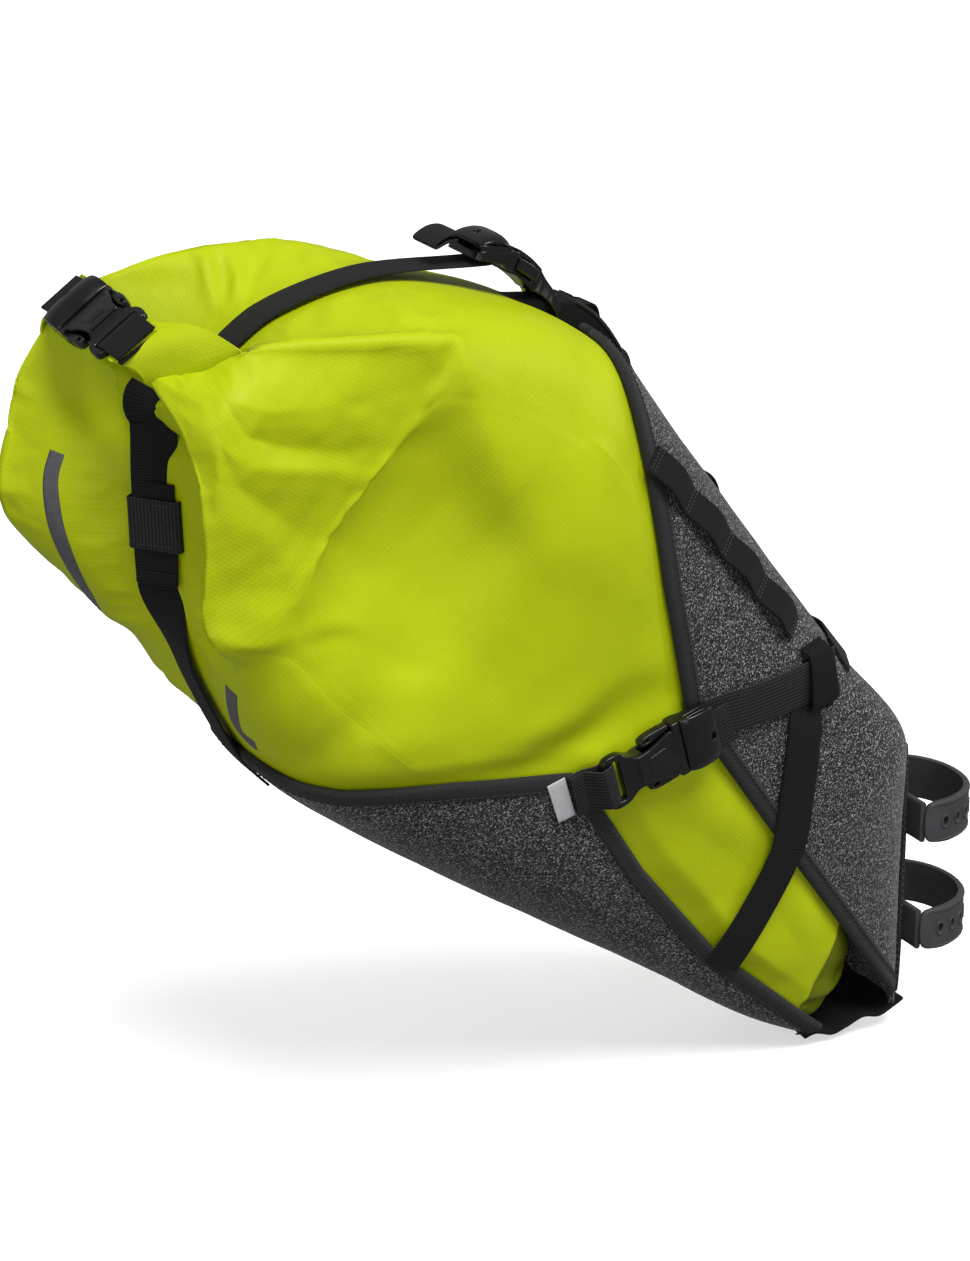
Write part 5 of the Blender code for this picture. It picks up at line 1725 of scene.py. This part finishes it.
strap("rear_web", tilted(smooth_path(rear, 6)), WEB_W, WEB_T_MM, WEB_X, nodes=("rear_strap",))
top_run = []
for ang in (74, 50):
    p = roll_point(math.radians(ang), ROLL_R + 2.6, 0)
    top_run.append((p, (p - ROLL_C).normalized()))
for t, o in ((11.0, 4.0), (10.6, 3.4), (10.1, 3.4), (9.5, 3.6), (9.0, 4.6)):
    top_run.append(mid(t, 0, o))
tw = strap("top_web", ladder_path(top_bent, top_run, [(-34, 8.0), (-40, 10.6), (-46, 11.6), (-51, 10.6), (-53.4, 8.6), (-51.6, 7.0), (-46, 8.2), (-40, 8.0)], ladder=((-16, -4.6), (-10.6, -2.8), (-9.4, 0.0), (-10.6, 2.8), (-15, 4.0), (-26, 5.2))), WEB_W, WEB_T_MM, WEB_T, nodes=("top_strap",), ride=False)
top_frame(-31, 0, 0) * MM
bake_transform(tw)

kdir = (KEEP_B - KEEP_A).normalized()
kn = Vector((-kdir.z, 0, kdir.x))
if kn.x > 0:
    kn = -kn
KEEP_C = KEEP_A.lerp(KEEP_B, 0.58)


kn_t = kn * math.cos(TILT) + Vector((0, -1, 0)) * math.sin(TILT)
ky_t = (Vector((0, 1, 0)) * math.cos(TILT) + kn * math.sin(TILT)).normalized()


def keep_local(x, y, z):
    return KEEP_C + kdir * x + ky_t * y + kn_t * z


def keeper_ring(x, grow):
    pts = []
    for (cx, cz, a0) in ((11.9, 2.9, 0), (-11.9, 2.9, 90), (-11.9, -0.9, 180), (11.9, -0.9, 270)):
        for a in (0, 22, 45, 68, 90):
            r = 1.3 + grow
            pts.append((cx + (r + 1.3) * math.cos(math.radians(a0 + a)), cz + r * math.sin(math.radians(a0 + a))))
    return pts


kb = Build()
rings = []
for x, g in ((-13.2, 0.0), (-13.9, 0.35), (-13.6, 0.85), (-12.6, 1.0), (-10, 0.8), (-6, 0.85), (0, 0.8), (6, 0.85), (10, 0.8), (12.6, 1.0), (13.6, 0.85), (13.9, 0.35), (13.2, 0.0)):
    rings.append([keep_local(x, y, z) for y, z in keeper_ring(x, g)])
rings += [[keep_local(x, y, z) for y, z in keeper_ring(x, 0.0)] for x in (8, 0, -8)]
kb.grid(rings, close_u=True, close_v=True)
for x in (-10.8, 10.8):
    stitch_row(kb, [keep_local(x, y, 5.0) for y in frange(-11.5, 11.5, 12)], [kn_t] * 12, mi=1)
ko = kb.add("keeper_sleeve", [WEB_L, THREAD], nodes=("strap_keeper",), body="strap_keeper", slot="webbing_black")
sharpen(ko, 60)
tail_path = [(keep_local(x, 0, z), kn_t) for x, z in ((-31, 2.7), (-24, 2.4), (-14, 1.9), (0, 1.9), (10, 1.9), (22, 1.9))]


def tail_hem(b):
    r, uv = strap_rings([(keep_local(x, 0, z), kn_t) for x, z in ((-31, 4.0), (-28.6, 3.95), (-25.6, 3.85))], 24.0, 1.3)
    b.tube(r, uv=uv)
    r, uv = strap_rings([(keep_local(-31.2 - 0.75 * math.sin(a), 0, 3.35 - 0.75 * math.cos(a)), kn_t * -math.cos(a) + kdir * -math.sin(a)) for a in frange(0, math.pi, 7)], 24.0, 1.2)
    b.tube(r, uv=uv)


strap("strap_end", smooth_path(tail_path, 4), 24.0, WEB_T_MM, WEB_X, nodes=("strap_tail",), extra=tail_hem)

# ------------------------------------------------------- both sides of the bag
for sfx, sd in (("r", -1), ("l", 1)):
    t0, s0 = closest(Vector((-193, sd * 80, 131)))
    n0 = surf_normal(t0, s0)
    seam = surf(t0, s0, 3.0) + n0 * 9.0
    xdir = Vector((-0.952, 0.0, -0.306))
    xdir = (xdir - n0 * xdir.dot(n0)).normalized()
    sf = make_frame(seam, xdir, n0)
    buckle("side", "_" + sfx, sf)
    rows_t = []
    for x in (52.0, 56.5, 60.5):
        p, _n = on_surface(sf(x, 0, -9.0), 3.0)
        lz = (p - seam).dot(n0)
        rows_t.append((x, lz + 2.6, lz + 4.9))
    bar_loop("side_web_tab_" + sfx, "side_tab_" + sfx, sf, rows_t, WEB_L)
    pr = [on_surface(sf(x, 0, -9.0), 3.0 + 1.7) for x in (61.5, 64.0, 66.5, 69.0, 72.0)]
    strap("side_patch_" + sfx, pr, 26.0, 1.0, PALE, nodes=("side_reflector_" + sfx,), slot="reflective_pale")
    k0, kn0 = on_surface((-72, sd * 51, 147.5), 5.3)
    approach = []
    for f in frange(0.0, 0.70, 6):
        q = k0.lerp(sf(-27, 0, -4.4), f)
        approach.append(on_surface(q, 5.3 + 1.6 * f))
    so = strap("side_web_" + sfx, ladder_path(sf, approach, [(-36, 5.0)]), WEB_W, WEB_T_MM, WEB_L, nodes=("side_strap_" + sfx,), ride=False)
    sf(-31, 0, -4) * MM
    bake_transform(so)
    # guide over the strap
    p_c, n_c = on_surface(k0.lerp(sf(-27, 0, -4.4), 0.17), 3.0)
    along = (approach[0][0] - approach[1][0]).normalized()
    across = along.cross(n_c).normalized()
    kp = []
    for d, h in ((-19.4, 0.9), (-17.2, 1.7), (-15.4, 4.4), (-13.2, 6.0), (-7, 6.4), (0, 6.5), (7, 6.4), (13.2, 6.0), (15.4, 4.4), (17.2, 1.7), (19.4, 0.9)):
        kp.append(on_surface(p_c + across * d, 3.0 + h))
    strap("strap_guide_" + sfx, smooth_path(kp, 4), 22.0, 1.2, GUSSET, nodes=("rail_keeper_" + sfx,), slot="webbing_black")
    cp = []
    for q in resample(catmull([Vector((x, sd * y, z)) for x, y, z in ((-97.5, 57.5, 135), (-98.5, 57.5, 121), (-100, 57, 92), (-101.5, 54.5, 60), (-102.5, 53.8, 48), (-106.5, 52.3, 37), (-116, 50, 17), (-138, 45, -23))], 6), 4.0):
        cp.append(on_surface(q, 3.0 + 0.9 + 1.5 * smooth(135, 118, q.z)))
    strap("cross_web_" + sfx, cp, CROSS_W + 4.0, WEB_T_MM, WEB_X, nodes=("cross_strap_" + sfx,))
    dp = []
    bows = 4
    for i in range(bows * 14 + 1):
        f = i / (bows * 14)
        q = Vector((-204, sd * 70, 292.5)).lerp(Vector((-105, sd * 56, 177)), f)
        up = 4.2 * math.sin(math.pi * ((f * bows) % 1.0)) ** 1.4 if 0 < f < 1 else 0.0
        dp.append(on_surface(q, 3.0 + 1.7 + up))

    def tacks(b, dp=dp, bows=bows):
        for k in range(bows + 1):
            i = min(max(k * 14, 1), len(dp) - 2)
            p, n = dp[i]
            tg = (dp[i + 1][0] - dp[i - 1][0]).normalized()
            ac = tg.cross(n).normalized()
            for off in (-1.2, 1.2):
                stitch_row(b, [p + ac * a + tg * off + n * 0.85 for a in frange(-7.4, 7.4, 8)], [n] * 8, 2.0, 0.35, 0.45, mi=1)
    strap("daisy_web_" + sfx, dp, 16.5, WEB_T_MM, [WEB_X, THREAD], nodes=("daisy_chain_" + sfx,), extra=tacks)

TONGUE_LIFT = ((4.9, 0.0), (6.1, 0.2), (6.4, 2.0), (6.6, 4.0), (6.8, 6.0), (7.0, 7.6), (7.2, 8.2), (7.35, 4.6), (7.5, 2.6), (7.65, 1.0), (7.75, 0.2))
# black sheet under the top buckle: partly a black backing cloth, partly painted shade of the hollow between buckle and
# bag
tongue = []
for t in frange(6.12, 7.75, 48):
    p, n = surf(t, 0.0, lerp(2.0, -1.6, smooth(7.3, 7.75, t))), surf_normal(t, 0.0)
    up, w = interp(t, TONGUE_LIFT), interp(t, ((6.1, 15.0), (7.2, 13.5), (7.75, 11.5)))
    tongue.append([p + Vector((0, y * w, 0)) + n * z for y, z in (
        (-1.0, -4.0), (-1.0, up * 0.5), (-0.97, up - 0.5), (-0.88, up + 0.1), (-0.5, up + 0.3), (0.0, up + 0.35), (0.5, up + 0.3), (0.88, up + 0.1), (0.97, up - 0.5), (1.0, up * 0.5), (1.0, -4.0), (0.0, -3.0))])
tb = Build()
tb.tube(tongue)
sharpen(tb.add("tongue_lining_painted_shade", GUSSET, slot="webbing_black"), 50)
strap("tongue_tape", [(surf(t, 0.0, 2.0 + interp(t, TONGUE_LIFT) + 1.4), surf_normal(t, 0.0)) for t in frange(6.15, 7.21, 40)], 28.0, 2.2, TAPE)
ridge = []
for t in frange(7.1, 4.95, 110):
    up = 0.0
    for a, c, h in ((6.98, 6.72, 5.0), (6.60, 6.28, 6.0), (5.56, 5.10, 8.0)):
        if c < t < a:
            up = h * math.sin(math.pi * (t - c) / (a - c)) ** 1.2
    over = 2.4 * smooth(6.08, 6.2, t)
    ridge.append((surf(t, 0.03, 3.0 + 1.0 + interp(t, TONGUE_LIFT) + over * 0.7 + up), surf_normal(t, 0.03)))
strap("ridge_loops", ridge, 15.0, WEB_T_MM, WEB_X)

edge = []
for sd in (-1, 1):
    edge.append([on_surface((q[0], sd * q[1], q[2]), 5.0) for q in ((-59.5, 45, 153), (-56, 41, 155), (-54, 35, 156.5))])
TOP_DIR = Vector((-0.612, 0.0, 0.791)).normalized()
n_top = Vector((TOP_DIR.z, 0, -TOP_DIR.x))
flat = Vector((surf(4.02, 0, 0).x, 0, surf(4.02, 0, 0).z)) + n_top * 5.2
rail = edge[0] + [(flat + Vector((0, y, 0)), n_top) for y in (-22, -8, 8, 22)] + edge[1][::-1]
strap("rail_web", smooth_path(rail, 5), WEB_W, WEB_T_MM, WEB_L, nodes=("rail_strap",))

# stripes on the rear of the dry bag, laid on the shaped skin
SKIN_TREE = grid_bvh(P1)
NSKIN = grid_normals(P1)
for sfx, sd in (("r", -1), ("l", 1)):
    rp = []
    pix = STRIPE_PIX[0] if sd < 0 else STRIPE_PIX[1]
    for p in catmull([Vector((a, c, 0)) for a, c in pix], 8):
        hit = SKIN_TREE.ray_cast(CAM_P, pixel_ray(p.x, p.y))
        if hit[0] is not None:
            rp.append((hit[0] / MM + hit[1] * 0.45, hit[1]))
    rows_o, rows_i = [], []
    for i, (p, n) in enumerate(rp):
        tg = (rp[min(i + 2, len(rp) - 1)][0] - rp[max(i - 2, 0)][0]).normalized()
        ac = tg.cross(n).normalized()
        ro_, ri_ = [], []
        for d in frange(-4.5, 4.5, 7):
            hit = SKIN_TREE.find_nearest((p + ac * d) * MM)
            q = hit[0] / MM
            nn = (p + n * 8 - q).normalized() if hit[1].dot(n) < 0.2 else hit[1]
            ro_.append(q + nn * 0.55)
            ri_.append(q - nn * 0.3)
        rows_o.append(ro_)
        rows_i.append(ri_)
    sb = Build()
    sb.grid(rows_o)
    sb.grid(rows_i, flip=True)
    for j in (0, 6):
        sb.grid([[r[j] for r in rows_o], [r[j] for r in rows_i]])
    for i in (0, len(rows_o) - 1):
        sb.grid([rows_o[i], rows_i[i]])
    sb.add("rear_stripe_" + sfx, STRIPE, nodes=("rear_reflector_" + sfx,), slot="reflective_grey")

# ------------------------------------------------------------- rubber straps
LOOP_PATH = ((1.8, -36.0), (4.6, -37.0), (8.0, -37.4), (16, -37.4), (25, -34.6), (33, -30), (40, -22.5), (44.4, -13), (46, -3), (45.6, 6), (43, 16),
             (37.5, 25.5), (30, 32.5), (21, 37.2), (13.5, 40.5), (9.0, 44.5), (7.6, 50.0), (7.6, 55.0), (7.6, 60.5), (7.6, 64.0))
LOOP_Z = (33.0, -35.0)
LOOP_W, LOOP_T = 26.0, 3.6
loop_dense = resample(catmull([Vector((x, y, 0)) for x, y in LOOP_PATH], 12), 1.0)
loop_len = [0.0]
for a, c in zip(loop_dense, loop_dense[1:]):
    loop_len.append(loop_len[-1] + (c - a).length)
LOOP_L = loop_len[-1]


def loop_at(d, w):
    d = min(max(d, 0.0), LOOP_L)
    k = min(int(d / LOOP_L * (len(loop_dense) - 1)), len(loop_dense) - 2)
    f = (d - loop_len[k]) / max(loop_len[k + 1] - loop_len[k], 1e-9)
    p = loop_dense[k].lerp(loop_dense[k + 1], f)
    a, c = loop_dense[max(k - 2, 0)], loop_dense[min(k + 3, len(loop_dense) - 1)]
    d2 = (c - a).normalized()
    return Vector((p.x + d2.y * w, p.y - d2.x * w, 0.0))


def oval(cx, cy, rx, ry, n=20):
    return [(cx + rx * math.cos(2 * math.pi * i / n), cy + ry * math.sin(2 * math.pi * i / n)) for i in range(n)]


PEG_D = LOOP_L - 8.2
hole_at = [x for x in frange(13.0, LOOP_L - 30.0, 12)] + [PEG_D]
for tag, zc in zip(("upper", "lower"), LOOP_Z):
    b = Build()
    hw = LOOP_W / 2
    outline = rounded([(0.2, -hw * 0.72), (0.2, hw * 0.72), (5, hw), (30, hw), (60, hw), (90, hw), (120, hw), (LOOP_L - 8, hw), (LOOP_L - 0.2, hw * 0.62), (LOOP_L - 0.2, -hw * 0.62), (LOOP_L - 8, -hw),
                       (120, -hw), (90, -hw), (60, -hw), (30, -hw), (5, -hw)], 2)
    holes = [oval(x, 0, 1.6, 3.1) for x in hole_at]
    cuts = frange(1.5, LOOP_L - 1.5, 72)
    pl = cut_x(*plate_mesh(outline, holes, -LOOP_T / 2 + 0.9, LOOP_T / 2, 0.8), cuts)
    back = cut_x(*plate_mesh(outline, [holes[-1]], -LOOP_T / 2, -LOOP_T / 2 + 1.4, 0.5), cuts)

    def bend(x, y, z, zc=zc):
        q = loop_at(x, z)
        return Vector((q.x, q.y, zc + y))
    put_plate(b, pl, bend)
    put_plate(b, back, bend)
    for x in hole_at:
        rim = plate_mesh(oval(x, 0, 2.9, 4.6), [oval(x, 0, 1.6, 3.1)], LOOP_T / 2 - 0.6, LOOP_T / 2 + 0.6, 0.4)
        put_plate(b, cut_x(*rim, (x - 1.4, x, x + 1.4)), bend)
    for sgn in (1, -1):
        bead = cut_x(*plate_mesh(rounded([(8, sgn * 10.4), (8, sgn * 12.2), (LOOP_L - 14, sgn * 12.2), (LOOP_L - 14, sgn * 10.4)], 2), [], LOOP_T / 2 - 0.5, LOOP_T / 2 + 0.45, 0.4), frange(10, LOOP_L - 16, 60))
        put_plate(b, bead, bend)
    ob = b.add("rubber_" + tag, RUBBER, nodes=("seatpost_strap_" + tag,), body="seatpost_strap_" + tag, slot="rubber_grey")
    sharpen(ob, 40)
    # fixed root of the strap, up to where it bends
    root = [(Vector((x, y, zc)), Vector((1, 0, 0))) for x, y in ((1.2, -12.0), (1.6, -18.0), (1.8, -24.0), (1.9, -29.0), (1.9, -32.5), (1.8, -35.2))]
    strap("rubber_root_" + tag, root, LOOP_W - 1.0, LOOP_T, RUBBER, slot="rubber_grey")
    # hook at the far edge
    h = Build()
    base = plate_mesh(rounded([(33.2, -13.8), (33.2, 19.8), (60, 19.8), (63, 16), (63, -10), (60, -13.8)], 2), [], -1.6, 3.2, 0.9)
    put_plate(h, base, lambda y, z, x, zc=zc: Vector((x, y, zc + z)))
    link = plate_mesh(rounded([(24.5, -11.0), (24.5, 17.0), (38, 17.0), (38, -11.0)], 2), [], -2.4, 0.7, 0.6)
    put_plate(h, link, lambda y, z, x, zc=zc: Vector((x, y, zc + z)))
    peg = []
    for x, r in ((2.6, 2.0), (8.0, 1.9), (9.9, 1.9), (10.3, 3.0), (11.6, 3.2), (12.6, 2.4), (12.9, 0.4)):
        peg.append([Vector((x, 57.0 + r * 0.62 * math.cos(a), zc + r * math.sin(a))) for a in frange(0, 2 * math.pi * 15 / 16, 16)])
    h.tube(peg)
    rest = plate_mesh(rounded([(36, 14.0), (36, 19.6), (58, 19.6), (58, 14.0)], 2), [], 2.6, 6.4, 1.2)
    put_plate(h, rest, lambda y, z, x, zc=zc: Vector((x, y, zc + z)))
    for k in range(5):
        y = 39 + k * 4
        rib = plate_mesh(rounded([(y - 0.8, 14.6), (y - 0.8, 19.0), (y + 0.8, 19.0), (y + 0.8, 14.6)], 1), [], 6.0, 7.1, 0.4)
        put_plate(h, rib, lambda yy, z, x, zc=zc: Vector((x, yy, zc + z)))
    ob = h.add("hook_" + tag, mat_rubber("hook_" + tag, 0.6, 0.42), nodes=("strap_hook_" + tag,), slot="rubber_grey")
    sharpen(ob, 40)

# seatpost pad, nose and hidden plates
pad = Build()
pl = plate_mesh(rounded([(-17, -83.8), (-22.5, -78), (-22.5, 74), (-17, 79.8), (24, 79.8), (29.5, 74), (29.5, -78), (24, -83.8)], 2), [], -3.2, 0.0, 1.4)
put_plate(pad, pl, lambda y, z, x: Vector((x, y, z)))
for z0 in frange(-70, 66, 18):
    rib = plate_mesh(rounded([(-18, z0 - 1.2), (-18, z0 + 1.2), (24, z0 + 1.2), (24, z0 - 1.2)], 1), [], -0.6, 0.12, 0.25)
    put_plate(pad, rib, lambda y, z, x: Vector((x, y, z)))
po = pad.add("grip_pad", PAD, nodes=("seatpost_pad",), slot="rubber_grey")
sharpen(po, 40)

nb, nt = Vector((STATIONS[0][0], 0, STATIONS[0][1])), Vector((STATIONS[0][2], 0, STATIONS[0][3]))
ne = (nt - nb).normalized()
nd = Vector((ne.z, 0, -ne.x))
go, gi = [], []
for x in frange(-4.0, 64.5, 40):
    ro, ri = [], []
    for y in frange(-29.0, 29.0, 31):
        wv = 1.9 * math.sin(x * 0.19 + 0.06 * y) * (0.35 + 0.65 * abs(y) / 29) + 0.4 * math.sin(x * 0.38 - y * 0.1)
        z = 1.0 + 2.2 * math.sin(math.pi * (x + 4) / 68.5) + wv
        z -= 9.0 * smooth(16.0, 28.0, y)
        q = nb + ne * x + nd * z + Vector((0, y, 0))
        ro.append(q)
        ri.append(q - nd * 1.6)
    go.append(ro)
    gi.append(ri)
g = Build()
g.grid(go)
g.grid(gi, flip=True)
for j in (0, 30):
    g.grid([[r[j] for r in go], [r[j] for r in gi]])
for i in (0, 39):
    g.grid([go[i], gi[i]])
ob = g.add("nose_cloth", GUSSET, nodes=("nose_gusset",), slot="webbing_black")
for nm in ("seatpost_stiffener", "lower_stiffener", "roll_stiffener"):
    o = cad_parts[nm]
    o.data.materials.clear()
    o.data.materials.append(PLATE)

# ------------------------------------------------------------- rolled mouth
rb = Build()
rows_y = frange(-62.0, 78.0, 71)
rr = []
for y in rows_y:
    ring = []
    for k in range(44):
        a = 2 * math.pi * k / 44
        r = ROLL_R - 1.1 * (k / 44.0) + 0.35 * mnoise.noise(Vector((y * 0.05, math.cos(a) * 2, math.sin(a) * 2))) * 2
        if abs(y) < 15:
            r -= 0.5 * smooth(15, 12, abs(y))
        if y > 66:
            r *= 1 - 0.35 * smooth(66, 78, y)
        if y < -50:
            r *= 1 - 0.35 * smooth(-50, -62, y)
        ring.append(roll_point(a + 2.4, r, y))
    rr.append(ring)
rb.tube(rr)
ro = rb.add("mouth_roll", LIME, nodes=("roll_bar",), slot="ripstop_lime")
sharpen(ro, 50)


def band(name, node, rows, thick, mat, **kw):
    """Cloth band through rows of points, closed with a back face."""
    nu, nv = len(rows), len(rows[0])
    G = np.array([[tuple(p) for p in r] for r in rows])
    du = np.gradient(G, axis=0)
    dv = np.gradient(G, axis=1)
    n = np.cross(dv, du)
    n /= np.maximum(np.linalg.norm(n, axis=2, keepdims=True), 1e-9)
    if (n.reshape(-1, 3).mean(axis=0) @ np.array((-0.4, -0.3, 0.85))) < 0:
        n = -n
    back = G - n * thick
    b = Build()
    fr_ = [[Vector(p) for p in r] for r in G]
    bk = [[Vector(p) for p in r] for r in back]
    b.grid(fr_)
    b.grid(bk, flip=True)
    for j in (0, nv - 1):
        b.grid([[r[j] for r in fr_], [r[j] for r in bk]])
    for i in (0, nu - 1):
        b.grid([fr_[i], bk[i]])
    ob = b.add(name, mat, nodes=(node,), slot="ripstop_lime", **kw)
    sharpen(ob, 55)
    return ob


def spread(ctrl, nu, nv):
    """Smooth grid through coarse rows of control points."""
    rows = [catmull([Vector(p) for p in r], nv) for r in ctrl]
    cols = [catmull([r[j] for r in rows], nu) for j in range(len(rows[0]))]
    return [[c[i] for c in cols] for i in range(len(cols[0]))]


near_ctrl = [
    [roll_local(49, -13.5, 0.2), roll_local(49, -5, 0.2), roll_local(49, 5, 0.2), roll_local(49, 13.5, 0.2)],
    [roll_local(56, -14.5, 0.6), roll_local(56, -5, 1.0), roll_local(56, 5, 1.0), roll_local(56, 14.5, 0.6)],
    [Vector((-474, -31, 365)), Vector((-466, -36, 373)), Vector((-455, -42, 380)), Vector((-444, -46, 386))],
    [Vector((-470, -32, 360)), Vector((-458.5, -40, 365.5)), Vector((-445.5, -50, 371)), Vector((-431, -60, 377))],
    [Vector((-468, -31, 356.5)), Vector((-456.5, -40, 361)), Vector((-443.5, -50, 366)), Vector((-427, -60, 371.5))],
    [Vector((-464, -30, 353.5)), Vector((-453, -38, 357)), Vector((-440, -48, 361.5)), Vector((-424, -57, 366))],
]
band("near_ear", "roll_arm_r", spread(near_ctrl, 5, 6), 1.2, LIME)
far_ctrl = [
    [Vector((-477, 82, 352)), Vector((-470, 85, 362)), Vector((-463, 84, 373)), Vector((-455, 78, 384))],
    [Vector((-482, 80, 358)), Vector((-476, 84, 367)), Vector((-468, 82, 377)), Vector((-460, 75, 387))],
    [roll_local(-46, -13.5, -2.8), roll_local(-46, -5, -2.8), roll_local(-46, 5, -2.8), roll_local(-46, 13.5, -2.8)],
    [roll_local(-33, -12.6, -2.9), roll_local(-33, -5, -3.2), roll_local(-33, 5, -3.2), roll_local(-33, 12.6, -2.9)],
]
fa = band("far_ear", "roll_arm_l", spread(far_ctrl, 6, 6), 1.2, LIME, ride=False)
roll_local(-40, 0, 0) * MM
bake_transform(fa)
